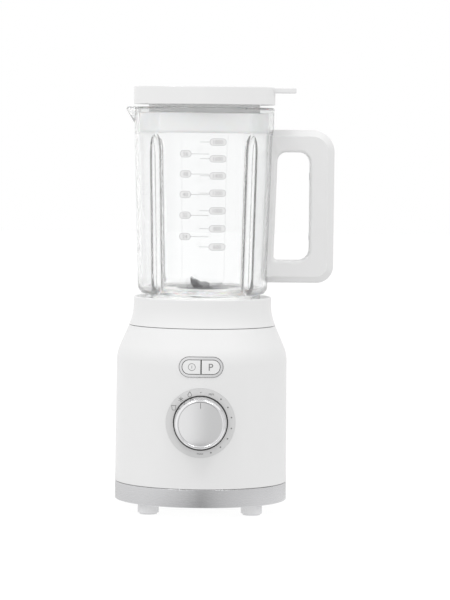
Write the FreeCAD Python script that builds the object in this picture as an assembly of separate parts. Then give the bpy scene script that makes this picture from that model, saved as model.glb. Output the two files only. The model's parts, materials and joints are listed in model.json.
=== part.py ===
import FreeCAD, Part
import math
import os

# Countertop blender: a round motor base with a control panel, a fluted glass jug on a screw-on collar
# that holds the blade unit, and a press-in lid with a filler cap.
#
# Millimetres, +Z up. The origin is on the motor axis, at the level of the surface that the feet stand on.
# The control panel faces -Y, the jug's handle points along +X and its spout along -X.

V = FreeCAD.Vector
Z_AXIS = V(0, 0, 1)
Y_AXIS = V(0, 1, 0)
ORIGIN = V(0, 0, 0)

# ---------------------------------------------------------------- clearances
RUN = 0.05          # a shaft turning in its bush or bearing
SEAT = 0.1          # a fixed piece in its pocket
SLIP = 0.4          # a piece that slides or lifts off in use
SEAM = 0.6          # the visible gap between two covers
LIFT_GAP = 0.3      # under a piece that lifts off in use

# ---------------------------------------------------------------- motor base
FOOT_H = 10.1
FOOT_R = 10.4
FOOT_TIP_R = 8.6
FOOT_TIP_H = 1.5
FOOT_SPAN = 101.6           # between foot centres, along X and along Y
BASE_R = 85.5
BAND_H = 17.9
BAND_T = 2.4
WALL = 3.0
BODY_TAPER = 0.8            # the body's radius shrinks by this much from the band to the shoulder
BODY_H = 128.0              # from the band to the shoulder
SHOULDER_H = 27.2
SHOULDER_ROUND = 38.0
SEAM_R = 72.8               # where the body meets the jug's collar
DECK_HOLE_R = 46.0
COVER_T = 3.6
COVER_WALL = 9.0            # height of the bottom cover's upright edge
SPIGOT_T = 2.2              # the body's lower rim, which centres the trim band
GLAND_R = 7.5
GLAND_Z = 46.0
GLAND_FLANGE_R = 10.5
CORD_HOLE_R = 3.6
GLAND_INSIDE = 10.0         # how far the cord bush reaches into the body
GLAND_FLANGE_T = 2.0
SEAT_T = 3.0
SEAT_WALL_R = (55.0, 58.0)  # inside and outside of the jug seat's ring
DOG_W = 12.0                # the collar's locating lugs
PAD_R = 3.0
PAD_RING_R = 50.0
MAGNET_R = 2.5
MAGNET_H = 4.0
MAGNET_RING_R = 57.4

# ---------------------------------------------------------------- control panel
PANEL_R = 85.0              # the body's radius at the panel, for the depth of what sits behind it
BUTTON_Z = 148.0
BEZEL_W = 42.4
BEZEL_H = 19.2
BEZEL_RIM = 2.3
BEZEL_GAP = 0.5
BUTTON_GAP = 0.6
BUTTON_X = 9.4              # each button's stem, from the middle
SWITCH_DEPTH = 4.6          # a push switch's height on the board, plunger included
DIAL_Z = 93.4
DIAL_R = 33.9
DIAL_T = 1.2
KNOB_R = 26.0
KNOB_FRONT_R = 24.3
KNOB_FACE_R = 21.3
KNOB_DOME = 1.2             # how far the face's middle stands in front of its edge
KNOB_SKIRT_R = 26.5         # the dark foot behind the knob's bright rim
KNOB_SKIRT_PROUD = 1.5
KNOB_HOLE_R = 26.9
KNOB_PROUD = 14.0           # from the body's front to the knob's face
SWITCH_SHAFT_R = 3.0
BOARD_Y = -62.4             # back face of the control board
BOARD_T = 1.6
BOARD_W = 74.0
BOARD_LOW = 62.0
BOARD_HIGH = 160.0
BOARD_SCREW_INSET = (5.0, 6.0)      # from the board's edges, along X and up
BOARD_SCREW_R = 1.4

# ---------------------------------------------------------------- jug
COLLAR_H = 27.9
COLLAR_TOP_R = 68.5
COLLAR_STRAIGHT = 7.0       # the collar's upright rim, above its flare
COLLAR_WALL = 2.5
JUG_LIFT = 3.3              # the glass body's underside above the collar's rim
JUG_H = 185.0
JUG_FOOT_R = 64.6
JUG_RIM_R = 70.0
GLASS_T = 4.6
RIM_ROUND = 1.6
NECK_R = 57.5
NECK_HOLE_R = 50.0
NECK_H = 13.0
JUG_CORNER = 8.0
JUG_CORNER_Z = 5.0          # height of the corner between the wall and the chamfer under it
FLUTE_COUNT = 4
FLUTE_R = 8.0
FLUTE_DEPTH = 3.4
FLUTE_TOP_GAP = 48.0        # from the rim to where the flutes start to curve out
FLUTE_BEND_R = 55.0
SPOUT_REACH = 9.2
SPOUT_R = 13.6
SPOUT_H = 20.0
SPOUT_ROUND = 2.0

# ---------------------------------------------------------------- handle
HANDLE_REACH = 129.7        # outer face from the motor axis
HANDLE_TOP_GAP = 21.5       # below the jug's rim
HANDLE_H = 151.8
GRIP_W = 24.2
BAR_H = 22.2
HANDLE_DEPTH = 27.0
HANDLE_PLATE = 4.6          # the strip against the glass
HANDLE_BEVEL = 6.4
HANDLE_SOFTEN = 3.0         # rounding of the finger hole's edges
LINER_W = 18.0
LINER_REACH = 14.0          # how far the liner wraps along the two bars, from the grip
LINER_T = 2.4

# ---------------------------------------------------------------- lid
LID_R = 70.3
LID_H = 17.8
LID_GAP = 2.7               # between the jug's rim and the lid's cover
LID_SKIRT = 2.5
LID_TOP_T = 3.0
LID_NECK_R = 55.3
LID_NECK_H = 8.0
PLUG_H = 19.4
PLUG_WALL = 2.5
TAB_REACH = 91.2
TAB_W = 30.0
TAB_T = 5.3
TAB_DROP = 0.5              # from the lid's top down to the tab's
FILLER_R = 31.0
FILLER_WALL = 2.5
GASKET_T = 2.4
GASKET_GAP = 0.3
CAP_FLANGE = 4.0
CAP_FLANGE_T = 2.2

# ---------------------------------------------------------------- drive
SHAFT_R = 4.0
COUPLING_TEETH = 6
COUPLING_R = 13.0
COUPLING_ROOT_R = 9.0
SOCKET_R = 17.5
ENGAGE = 6.0
BOLT_R = 2.0
BRUSH_W = 6.0
BRUSH_H = 8.0
BRUSH_LENGTH = 11.0
BRUSH_SPRING = 6.0
BUSH_R = 7.5
BEARING_R = 11.0
BEARING_H = 7.0
STATOR_W = 88.0
STATOR_D = 76.0
STACK_H = 40.0
ARMATURE_R = 24.0
AIR_GAP = 0.6
ARMATURE_SLOTS = 12
COMMUTATOR_R = 12.0
COMMUTATOR_H = 14.0
FAN_R = 42.0
FAN_H = 15.0
FAN_BLADES = 9
BLADE_REACH = 28.0
BLADE_T = 1.8
BLADE_W = 13.0
BLADE_HUB_R = 8.8
NUT_H = 4.0
PLATE_R = 27.0              # the steel disc under the blades
PLATE_T = 1.5

# ---------------------------------------------------------------- levels worked out from those sizes
COVER_Z = FOOT_H
BAND_TOP = FOOT_H + BAND_H
BODY_Z = BAND_TOP + SEAM
SHOULDER_Z = BODY_Z + BODY_H
BODY_TOP = SHOULDER_Z + SHOULDER_H
COLLAR_Z = BODY_TOP + SEAM
COLLAR_TOP = COLLAR_Z + COLLAR_H
JUG_Z = COLLAR_TOP + JUG_LIFT
RIM_Z = JUG_Z + JUG_H
NECK_Z = JUG_Z - NECK_H
COVER_BOTTOM = RIM_Z + LID_GAP
LID_TOP = COVER_BOTTOM + LID_H
PLUG_TOP = COVER_BOTTOM - LID_NECK_H
PLUG_Z = PLUG_TOP - PLUG_H
BODY_TOP_R = BASE_R - BODY_TAPER
WALL_SLOPE = (JUG_RIM_R - JUG_FOOT_R) / (JUG_H - JUG_CORNER_Z)

CARRIER_Z = NECK_Z - 4.5            # underside of the blade carrier's flange
CARRIER_TOP = JUG_Z - 1.5
CARRIER_T = 3.0
HUB_Z = CARRIER_Z - 2.0             # underside of the carrier's bearing tube
COUPLING_TOP = HUB_Z - 3.3
SEAT_TOP = BODY_TOP + SEAT_T
FLANGE_Z = CARRIER_Z - 3.0          # underside of the collar's floor
SEAT_WALL_TOP = FLANGE_Z - 2.0
BLADE_Z = CARRIER_TOP + PLATE_T + 1.8       # underside of the lower blade's hub
SWITCH_FACE = BOARD_Y - BOARD_T - SWITCH_DEPTH
BEZEL_SWEEP = PANEL_R - math.sqrt(PANEL_R ** 2 - (BEZEL_W / 2) ** 2)    # the wall's curve across the bezel
BUTTON_BACK = -PANEL_R + WALL + 2.3 + BEZEL_SWEEP                       # front of the buttons' flanges

STACK_Z = BODY_TOP - 92.2           # underside of the stator's laminations
STACK_TOP = STACK_Z + STACK_H
UPPER_BRACKET_Z = STACK_TOP + 18.0
LOWER_BRACKET_Z = STACK_Z - 30.0
BRACKET_T = 4.0
COMMUTATOR_Z = LOWER_BRACKET_Z + BRACKET_T + 4.0
FAN_Z = COVER_Z + COVER_T + 12.0
POST_R = 5.0
POST_ANGLES = (20, 160, 200, 340)
POST_RING_R = 70.0
MOTOR_POST_RING = 51.0
SCREW_R = 1.8
SCREW_HEAD_R = 3.6
SCREW_HEAD_H = 2.2
QUARTERS = (45, 135, 225, 315)      # where the motor's four posts stand
STATOR_BOLT_X = STATOR_W / 2 - 6


# ---------------------------------------------------------------- helpers
def to_space(a, b, plane):
    """A point of the XZ, XY or YZ plane."""
    return {"xz": V(a, 0, b), "xy": V(a, b, 0), "yz": V(0, a, b)}[plane]


def rounded_wire(points, plane="xz"):
    """A closed outline of straight runs: a point is (a, b), or (a, b, radius) to round its corner."""
    flat = [V(p[0], p[1], 0) for p in points]
    radii = [p[2] if len(p) > 2 else 0 for p in points]
    stations = []
    for i, corner in enumerate(flat):
        before = (flat[i - 1] - corner).normalize()
        after = (flat[(i + 1) % len(flat)] - corner).normalize()
        if radii[i] <= 0:
            stations.append((corner, None, corner))
            continue
        half = math.acos(max(-1, min(1, before.dot(after)))) / 2
        reach = radii[i] / math.tan(half)
        toward = (before + after).normalize()
        middle = corner + toward * (radii[i] / math.sin(half) - radii[i])
        stations.append((corner + before * reach, middle, corner + after * reach))
    edges = []
    for i, (start, middle, end) in enumerate(stations):
        if middle is not None:
            arc = [to_space(p.x, p.y, plane) for p in (start, middle, end)]
            edges.append(Part.Arc(*arc).toShape())
        following = stations[(i + 1) % len(stations)][0]
        if (following - end).Length > 1e-6:
            run = [to_space(p.x, p.y, plane) for p in (end, following)]
            edges.append(Part.LineSegment(*run).toShape())
    return Part.Wire(Part.__sortEdges__(edges))


def rounded_face(points, plane="xz"):
    return Part.Face(rounded_wire(points, plane))


def turned(points):
    """A solid of revolution about Z, from an outline of (radius, height) points."""
    return rounded_face(points, "xz").revolve(ORIGIN, Z_AXIS, 360)


def turned_about_y(points):
    """A solid of revolution about Y, from an outline of (radius, y) points."""
    shape = turned([(p[0], p[1], *p[2:]) for p in points])
    shape.rotate(ORIGIN, V(1, 0, 0), -90)
    return shape


def ring(inner, outer, low, high):
    if inner <= 0:
        return Part.makeCylinder(outer, high - low, V(0, 0, low))
    return turned([(inner, low), (outer, low), (outer, high), (inner, high)])


def rod(radius, start, end):
    """A round bar from one point to another."""
    along = end - start
    return Part.makeCylinder(radius, along.Length, start, along)


def block(x, y, z):
    """A box between low and high limits along each axis."""
    return Part.makeBox(x[1] - x[0], y[1] - y[0], z[1] - z[0], V(x[0], y[0], z[0]))


def polar(radius, degrees, z=0.0):
    turn = math.radians(degrees)
    return V(radius * math.cos(turn), radius * math.sin(turn), z)


def around(shape, angles):
    """Copies of a shape turned about Z."""
    copies = []
    for angle in angles:
        copy = shape.copy()
        copy.rotate(ORIGIN, Z_AXIS, angle)
        copies.append(copy)
    return copies


def evenly(count):
    """The angles of pieces spaced evenly round a turn."""
    return [i * 360 / count for i in range(count)]


def moved(shape, offset):
    copy = shape.copy()
    copy.translate(offset)
    return copy


def fused(first, *others):
    return first.multiFuse(list(others)).removeSplitter()


def pill_prism(width, height, y_near, y_far):
    """A bar with a pill-shaped section, running along Y at the buttons' height."""
    end = height / 2
    reach = width / 2 - end
    top, bottom = BUTTON_Z + end, BUTTON_Z - end
    corners = [V(x, y_near, z) for x, z in ((-reach, top), (reach, top), (reach, bottom), (-reach, bottom))]
    right, left = V(width / 2, y_near, BUTTON_Z), V(-width / 2, y_near, BUTTON_Z)
    edges = [
        Part.LineSegment(corners[0], corners[1]).toShape(),
        Part.Arc(corners[1], right, corners[2]).toShape(),
        Part.LineSegment(corners[2], corners[3]).toShape(),
        Part.Arc(corners[3], left, corners[0]).toShape(),
    ]
    return Part.Face(Part.Wire(edges)).extrude(V(0, y_far - y_near, 0))


def dial_disc(radius, y_near, y_far):
    return rod(radius, V(0, y_near, DIAL_Z), V(0, y_far, DIAL_Z))


def screw(length):
    """A pan-head screw with its head's underside at the origin and its shank along +Z."""
    head = turned([(0, -SCREW_HEAD_H), (SCREW_HEAD_R, -SCREW_HEAD_H, 1.0), (SCREW_HEAD_R, 0), (0, 0)])
    shank = Part.makeCylinder(SCREW_R, length)
    slot_low = -SCREW_HEAD_H
    cross = [
        block((-2.2, 2.2), (-0.4, 0.4), (slot_low, slot_low + 1.1)),
        block((-0.4, 0.4), (-2.2, 2.2), (slot_low, slot_low + 1.1)),
    ]
    return fused(head, shank).cut(cross[0]).cut(cross[1])


def placed(shape, position, direction):
    """The shape with its +Z turned to a direction and its origin moved to a position."""
    copy = shape.copy()
    copy.Placement = FreeCAD.Placement(position, FreeCAD.Rotation(Z_AXIS, direction)).multiply(copy.Placement)
    return copy


# ---------------------------------------------------------------- motor base: shells
def body_outline(inset):
    """The body's outer profile, moved inwards by inset, from the bottom up: (radius, height) points."""
    return [
        (BASE_R - inset, BODY_Z),
        (BODY_TOP_R - inset, SHOULDER_Z - inset * 0.2, SHOULDER_ROUND - inset),
        (SEAM_R - inset * 1.08, BODY_TOP),
    ]


def body_solid(inset, low=None):
    """The body's outline filled to the axis, down to a lower level if one is given."""
    start = body_outline(inset)[0]
    foot = [] if low is None else [(start[0], low)]
    axis_low = start[1] if low is None else low
    return turned([(0, axis_low)] + foot + body_outline(inset) + [(0, BODY_TOP)])


def panel_shell(inner, outer):
    """The layer of the body's wall between two insets: negative insets stand proud of it."""
    return body_solid(outer).cut(body_solid(inner))


def board_screw_places():
    """The (x, z) places of the control board's screws."""
    inset_x, inset_z = BOARD_SCREW_INSET
    reach = BOARD_W / 2 - inset_x
    return [(x, z) for x in (-reach, reach) for z in (BOARD_LOW + inset_z, BOARD_HIGH - inset_z)]


def housing():
    """The white body: a shell with a deck on top, a rim below, openings for the controls and screw posts."""
    hollow = body_solid(WALL, BODY_Z - 1).cut(ring(0, BASE_R, BODY_TOP - WALL, BODY_TOP + 1))
    shell = body_solid(0).cut(hollow).cut(ring(0, DECK_HOLE_R, BODY_TOP - WALL - 1, BODY_TOP + 1))
    inside = body_solid(WALL / 2)
    cover_top = COVER_Z + COVER_T
    spigot_r = BASE_R - BAND_T
    posts = [ring(spigot_r - SPIGOT_T, spigot_r, COVER_Z + COVER_WALL + SEAT, BODY_Z + 1.0)]
    for angle in POST_ANGLES:
        foot = polar(POST_RING_R, angle, cover_top)
        post = rod(POST_R, foot, foot + V(0, 0, 46))
        web = around(block((POST_RING_R, BASE_R), (-1.5, 1.5), (BODY_Z, foot.z + 46)), [angle])[0]
        room = inside.fuse(rod(POST_R, foot, foot + V(0, 0, 30)))
        posts.append(fused(post, web).common(room))
    motor_post_low = UPPER_BRACKET_Z + BRACKET_T + 3.0
    for angle in QUARTERS:
        foot = polar(MOTOR_POST_RING, angle, motor_post_low)
        posts.append(rod(POST_R, foot, V(foot.x, foot.y, BODY_TOP - WALL / 2)))
    for x, z in board_screw_places():
        post = rod(3.4, V(x, -BASE_R, z), V(x, BOARD_Y - BOARD_T, z))
        posts.append(post.common(inside))
    shell = fused(shell, *posts)
    for angle in POST_ANGLES:
        foot = polar(POST_RING_R, angle, cover_top - 1)
        shell = shell.cut(rod(SCREW_R, foot, foot + V(0, 0, 15)))
    for angle in QUARTERS:
        foot = polar(MOTOR_POST_RING, angle, motor_post_low - 1)
        shell = shell.cut(rod(SCREW_R, foot, foot + V(0, 0, 11)))
        head = polar(MOTOR_POST_RING, angle, BODY_TOP + 1)
        shell = shell.cut(rod(SCREW_R, head - V(0, 0, 10), head))
    for x, z in board_screw_places():
        board_front = BOARD_Y - BOARD_T
        shell = shell.cut(rod(BOARD_SCREW_R, V(x, board_front + 1, z), V(x, board_front - 7, z)))
    bezel_hole = pill_prism(BEZEL_W + 2 * BEZEL_GAP, BEZEL_H + 2 * BEZEL_GAP, -BASE_R - 5, -60)
    dial_hole = dial_disc(KNOB_HOLE_R, -BASE_R - 5, -60)
    dial_pocket = dial_disc(DIAL_R + SEAT, -BASE_R - 5, -60).common(panel_shell(DIAL_T, -5))
    cord_hole = rod(GLAND_R, V(0, 60, GLAND_Z), V(0, BASE_R + 5, GLAND_Z))
    return shell.cut(bezel_hole).cut(dial_hole).cut(dial_pocket).cut(cord_hole)


def cord_gland():
    """The rear bush that a mains lead comes out of."""
    back, face, front = BASE_R - GLAND_INSIDE, BASE_R, BASE_R + GLAND_FLANGE_T
    outline = [
        (CORD_HOLE_R, back), (GLAND_R + 1.0, back), (GLAND_R + 1.0, face - WALL - 1.2),
        (GLAND_R, face - WALL - 1.2),
        (GLAND_R, face), (GLAND_FLANGE_R, face), (GLAND_FLANGE_R, front, 1.0), (CORD_HOLE_R, front),
    ]
    return moved(turned_about_y(outline), V(0, 0, GLAND_Z))


def trim_band():
    inner = BASE_R - BAND_T
    return turned([
        (inner, COVER_Z), (BASE_R, COVER_Z, 0.8), (BASE_R, BAND_TOP, 0.4), (inner, BAND_TOP),
    ])


def foot_centres():
    half = FOOT_SPAN / 2
    return [V(x, y, 0) for x in (-half, half) for y in (-half, half)]


def bottom_cover():
    radius = BASE_R - BAND_T - SEAT
    plate = turned([
        (0, COVER_Z), (radius, COVER_Z), (radius, COVER_Z + COVER_WALL), (radius - 2.2, COVER_Z + COVER_WALL),
        (radius - 2.2, COVER_Z + COVER_T), (0, COVER_Z + COVER_T),
    ])
    slot = block((16, 40), (-1.6, 1.6), (COVER_Z - 1, COVER_Z + COVER_T + 1))
    for copy in around(slot, range(0, 360, 15)):
        plate = plate.cut(copy)
    for centre in foot_centres():
        plate = plate.cut(rod(
            3.0 + SEAT, centre + V(0, 0, COVER_Z - 1), centre + V(0, 0, COVER_Z + COVER_T + 1),
        ))
    for angle in POST_ANGLES:
        foot = polar(POST_RING_R, angle, COVER_Z - 1)
        plate = plate.cut(rod(SCREW_R + 0.3, foot, foot + V(0, 0, COVER_T + 2)))
        plate = plate.cut(rod(SCREW_HEAD_R + 0.3, foot, foot + V(0, 0, 1 + SCREW_HEAD_H)))
    outlet = block((-26, 26), (radius - 12, radius + 4), (COVER_Z + COVER_T + 1, COVER_Z + COVER_WALL + 1))
    return plate.cut(outlet)


def feet():
    top = COVER_Z
    foot = turned([
        (0, 1.0), (4.2, 1.0), (4.2, 0), (FOOT_TIP_R, 0, 0.6), (FOOT_TIP_R, FOOT_TIP_H),
        (FOOT_R, FOOT_TIP_H, 0.6),
        (FOOT_R, top), (3.0, top), (3.0, top + COVER_T), (4.0, top + COVER_T), (2.2, top + COVER_T + 3.0),
        (0, top + COVER_T + 3.0),
    ])
    return Part.makeCompound([moved(foot, centre) for centre in foot_centres()])


def fan_shroud():
    """The duct that leads air from the bottom vents through the fan."""
    low = COVER_Z + COVER_T
    inner = FAN_R + 3.0
    return turned([
        (inner, low), (inner + 8, low), (inner + 8, low + 2), (inner + 2, low + 2),
        (inner + 2, FAN_Z + FAN_H + 6),
        (inner, FAN_Z + FAN_H + 6),
    ])


def seat_notch_angles():
    return (0, 90, 180, 270)


def jug_seat():
    """The turret on the body's deck that the jug's collar drops over."""
    wall_in, wall_out = SEAT_WALL_R
    plate = turned([
        (20.0, SEAT_TOP - SEAT_T - WALL), (DECK_HOLE_R - SEAT, SEAT_TOP - SEAT_T - WALL),
        (DECK_HOLE_R - SEAT, SEAT_TOP - SEAT_T), (wall_out, SEAT_TOP - SEAT_T),
        (wall_out, SEAT_WALL_TOP, 0.8),
        (wall_in, SEAT_WALL_TOP, 0.8), (wall_in, SEAT_TOP), (25.0, SEAT_TOP), (24.0, SEAT_TOP + 2.2, 0.8),
        (22.0, SEAT_TOP + 2.2), (20.0, SEAT_TOP),
    ])
    half = DOG_W / 2 + SLIP
    for copy in around(
        block((wall_in - 3, wall_out + 2), (-half, half), (SEAT_TOP, SEAT_WALL_TOP + 1)),
        seat_notch_angles(),
    ):
        plate = plate.cut(copy)
    for angle in QUARTERS:
        foot = polar(MOTOR_POST_RING, angle, SEAT_TOP - SEAT_T - 1)
        plate = plate.cut(rod(SCREW_R + 0.3, foot, foot + V(0, 0, SEAT_T + 2)))
    return plate


def rest_pads():
    pad = turned([
        (0, SEAT_TOP), (PAD_R, SEAT_TOP), (PAD_R, FLANGE_Z - LIFT_GAP, 0.5), (0, FLANGE_Z - LIFT_GAP),
    ])
    return Part.makeCompound(around(moved(pad, V(PAD_RING_R, 0, 0)), (22.5, 112.5, 202.5, 292.5)))


def base_screws():
    """The screws of the bottom cover, the jug seat and the control board."""
    screws = []
    for angle in POST_ANGLES:
        screws.append(placed(screw(14), polar(POST_RING_R, angle, COVER_Z + SCREW_HEAD_H), Z_AXIS))
    for angle in QUARTERS:
        screws.append(placed(screw(10), polar(MOTOR_POST_RING, angle, SEAT_TOP), V(0, 0, -1)))
    for x, z in board_screw_places():
        screws.append(placed(board_screw(), V(x, BOARD_Y, z), V(0, -1, 0)))
    return Part.makeCompound(screws)


def board_screw():
    head = Part.makeCylinder(2.6, 1.6, V(0, 0, -1.6))
    return fused(head, Part.makeCylinder(BOARD_SCREW_R, 7.0))


def reed_switch():
    """The safety switch under the deck, which the magnet in the collar's rear lug closes."""
    top = BODY_TOP - WALL
    case = block((-8, 8), (MAGNET_RING_R - 3.5, MAGNET_RING_R + 3.5), (top - 5.0, top))
    lead = rod(0.5, V(-5, MAGNET_RING_R, top - 11.0), V(-5, MAGNET_RING_R, top - 4.0))
    return fused(case, lead, moved(lead, V(10, 0, 0)))


# ---------------------------------------------------------------- motor base: control panel
def button_bezel():
    """The pill-shaped frame round the buttons, with a flange that rests against the inside of the wall."""
    rim = pill_prism(BEZEL_W, BEZEL_H, -BASE_R - 4, -60).common(panel_shell(WALL + 1.5, -0.7))
    flange = pill_prism(BEZEL_W + 4.0, BEZEL_H + 4.0, -BASE_R - 4, -60).common(panel_shell(WALL + 1.5, WALL))
    opening = pill_prism(BEZEL_W - 2 * BEZEL_RIM, BEZEL_H - 2 * BEZEL_RIM, -BASE_R - 5, -59)
    return fused(rim, flange).cut(opening)


def button(side):
    """One half of the pill: side is -1 for the left button and 1 for the right."""
    width = BEZEL_W - 2 * BEZEL_RIM - 2 * BUTTON_GAP
    height = BEZEL_H - 2 * BEZEL_RIM - 2 * BUTTON_GAP
    back = BUTTON_BACK
    cap = pill_prism(width, height, -BASE_R - 4, back).common(body_solid(-0.4))
    flange = pill_prism(width + 3.0, height + 3.0, back, back + 1.4)
    reach = width / 2 + 4
    half = sorted((side * BUTTON_GAP, side * reach))
    keep = block(half, (-BASE_R - 5, -60), (BUTTON_Z - height, BUTTON_Z + height))
    x = side * BUTTON_X
    stem = rod(2.4, V(x, back + 1.0, BUTTON_Z), V(x, SWITCH_FACE - 0.6, BUTTON_Z))
    plunger = rod(1.6, V(x, back + 1.0, BUTTON_Z), V(x, SWITCH_FACE + 1.6, BUTTON_Z))
    return fused(fused(cap, flange).common(keep), stem, plunger)


def tact_switches():
    switches = []
    for side in (-1, 1):
        x = side * BUTTON_X
        case = block(
            (x - 3.1, x + 3.1), (SWITCH_FACE + 0.9, BOARD_Y - BOARD_T), (BUTTON_Z - 3.1, BUTTON_Z + 3.1),
        )
        hole = rod(1.6 + SLIP / 2, V(x, SWITCH_FACE, BUTTON_Z), V(x, BOARD_Y - BOARD_T - 0.4, BUTTON_Z))
        switches.append(case.cut(hole))
    return Part.makeCompound(switches)


def dial_ring():
    """The printed ring round the knob, curved like the body behind it."""
    plate = dial_disc(DIAL_R, -BASE_R - 5, -60).cut(dial_disc(KNOB_HOLE_R, -BASE_R - 6, -59))
    return plate.common(panel_shell(DIAL_T, -0.25))


def knob_front():
    return -PANEL_R - KNOB_PROUD


def skirt_front():
    return -PANEL_R - KNOB_SKIRT_PROUD


def knob_rim():
    """The bright tapered ring of the knob."""
    front = knob_front()
    outline = [
        (KNOB_FACE_R, skirt_front()), (KNOB_R, skirt_front()), (KNOB_FRONT_R, front + 1.8, 1.2),
        (KNOB_FRONT_R - 1.4, front, 1.0), (KNOB_FACE_R + 0.6, front, 0.5), (KNOB_FACE_R, front + 1.2),
    ]
    return moved(turned_about_y(outline), V(0, 0, DIAL_Z))


def knob_face():
    """The slightly domed disc in the rim, with a groove that points at the dial's marks."""
    front = knob_front() + 0.5
    disc = dial_disc(KNOB_FACE_R, front, knob_front() + 2.9)
    dome_r = (KNOB_FACE_R ** 2 + KNOB_DOME ** 2) / (2 * KNOB_DOME)
    disc = disc.common(Part.makeSphere(dome_r, V(0, front + dome_r, DIAL_Z)))
    groove_high = DIAL_Z + KNOB_FACE_R - 0.8
    return disc.cut(block((-0.35, 0.35), (front - 1, front + 1.3), (groove_high - 5.4, groove_high)))


def knob_hub():
    """The dark plastic core: it carries the rim and face, fits the switch's shaft and ends in the skirt."""
    disc_front = knob_front() + 2.9
    disc_back = disc_front + 3.0
    inner = KNOB_FACE_R - 2.0
    flange = skirt_front()
    boss_end = -PANEL_R + 5.0
    outline = [
        (0, disc_back), (0, disc_front), (KNOB_FACE_R, disc_front), (KNOB_FACE_R, flange),
        (KNOB_SKIRT_R, flange, 0.4), (KNOB_SKIRT_R, flange + 8.0), (KNOB_SKIRT_R - 2.5, flange + 8.0),
        (KNOB_SKIRT_R - 2.5, flange + 2.5), (inner, flange + 2.5), (inner, disc_back), (6.5, disc_back),
        (6.5, boss_end), (SWITCH_SHAFT_R, boss_end), (SWITCH_SHAFT_R, disc_back),
    ]
    return moved(turned_about_y(outline), V(0, 0, DIAL_Z))


def switch_shaft():
    return rod(SWITCH_SHAFT_R, V(0, knob_front() + 5.9, DIAL_Z), V(0, BOARD_Y - BOARD_T - 2.0, DIAL_Z))


def rotary_switch():
    face = BOARD_Y - BOARD_T
    case = block((-8, 8), (face - 7.0, face), (DIAL_Z - 8, DIAL_Z + 8))
    neck = rod(4.8, V(0, face - 12.0, DIAL_Z), V(0, face - 6.0, DIAL_Z))
    bore = rod(SWITCH_SHAFT_R + RUN, V(0, face - 13.0, DIAL_Z), V(0, face - 1.2, DIAL_Z))
    return fused(case, neck).cut(bore)


def control_board():
    half = BOARD_W / 2
    board = block((-half, half), (BOARD_Y - BOARD_T, BOARD_Y), (BOARD_LOW, BOARD_HIGH))
    for x, z in board_screw_places():
        board = board.cut(rod(BOARD_SCREW_R + SEAT, V(x, BOARD_Y - 3, z), V(x, BOARD_Y + 1, z)))
    return board


def board_components():
    """The power parts on the back of the board: a relay, two capacitors, a coil and a finned heat sink."""
    back = BOARD_Y
    relay = block((-30, -14), (back, back + 9), (122, 142))
    coil = rod(7.0, V(20, back, 128), V(20, back + 8, 128)).cut(rod(
        3.0, V(20, back - 1, 128), V(20, back + 9, 128),
    ))
    cans = [rod(5.0, V(x, back, 78), V(x, back + 11, 78)) for x in (-22, -9)]
    sink = block((8, 30), (back, back + 9), (70, 98))
    for x in (11, 16, 21, 26):
        sink = sink.cut(block((x, x + 2.2), (back + 2.5, back + 10), (69, 99)))
    return Part.makeCompound([relay, coil, *cans, sink])


# ---------------------------------------------------------------- motor
def shaft_hole(radius):
    return rod(radius, V(0, 0, 0), V(0, 0, BODY_TOP + 40))


def bracket_plate(low, radius):
    """A round plate with four windows between its arms."""
    plate = ring(0, radius, low, low + BRACKET_T)
    window = turned([
        (20.0, low - 1), (radius - 8, low - 1), (radius - 8, low + BRACKET_T + 1),
        (20.0, low + BRACKET_T + 1),
    ])
    arm = block((-radius, radius), (-8, 8), (low - 2, low + BRACKET_T + 2))
    for copy in around(arm, (45, 135)):
        window = window.cut(copy)
    return plate.cut(window)


def upper_bracket():
    low = UPPER_BRACKET_Z
    plate = bracket_plate(low, MOTOR_POST_RING + 7)
    boss = ring(0, BEARING_R + 3.5, low - 8, low + BRACKET_T)
    legs = [block((x - 5, x + 5), (-20, 20), (STACK_TOP, low + 1)) for x in (-STATOR_BOLT_X, STATOR_BOLT_X)]
    rim = turned([
        (STATOR_W / 2 - 8, low), (STATOR_W / 2 + 2, low), (STATOR_W / 2 + 2, low + BRACKET_T),
        (STATOR_W / 2 - 8, low + BRACKET_T),
    ])
    shape = fused(plate, boss, rim, *legs)
    shape = shape.cut(rod(BEARING_R + SEAT / 2, V(0, 0, low - 9), V(0, 0, low - 8 + BEARING_H + 1)))
    for angle in QUARTERS:
        foot = polar(MOTOR_POST_RING, angle, low - 1)
        shape = shape.cut(rod(4.0 + SEAT, foot, foot + V(0, 0, BRACKET_T + 2)))
    for x in (-STATOR_BOLT_X, STATOR_BOLT_X):
        shape = shape.cut(rod(BOLT_R + SEAT, V(x, 0, STACK_TOP - 1), V(x, 0, low + BRACKET_T + 1)))
    return shape.cut(shaft_hole(SHAFT_R + 1.0))


def lower_bracket():
    low = LOWER_BRACKET_Z
    plate = block((-STATOR_W / 2, STATOR_W / 2), (-16, 16), (low, low + BRACKET_T))
    boss = ring(0, BEARING_R + 3.5, low - 6, low + BRACKET_T)
    legs = [block((x - 5, x + 5), (-16, 16), (low, STACK_Z)) for x in (-STATOR_BOLT_X, STATOR_BOLT_X)]
    shape = fused(plate, boss, *legs)
    shape = shape.cut(rod(BEARING_R + SEAT / 2, V(0, 0, low - 7), V(0, 0, low - 6 + BEARING_H)))
    for x in (-STATOR_BOLT_X, STATOR_BOLT_X):
        shape = shape.cut(rod(BOLT_R + SEAT, V(x, 0, low - 1), V(x, 0, STACK_Z + 1)))
    return shape.cut(shaft_hole(SHAFT_R + 1.0))


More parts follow.
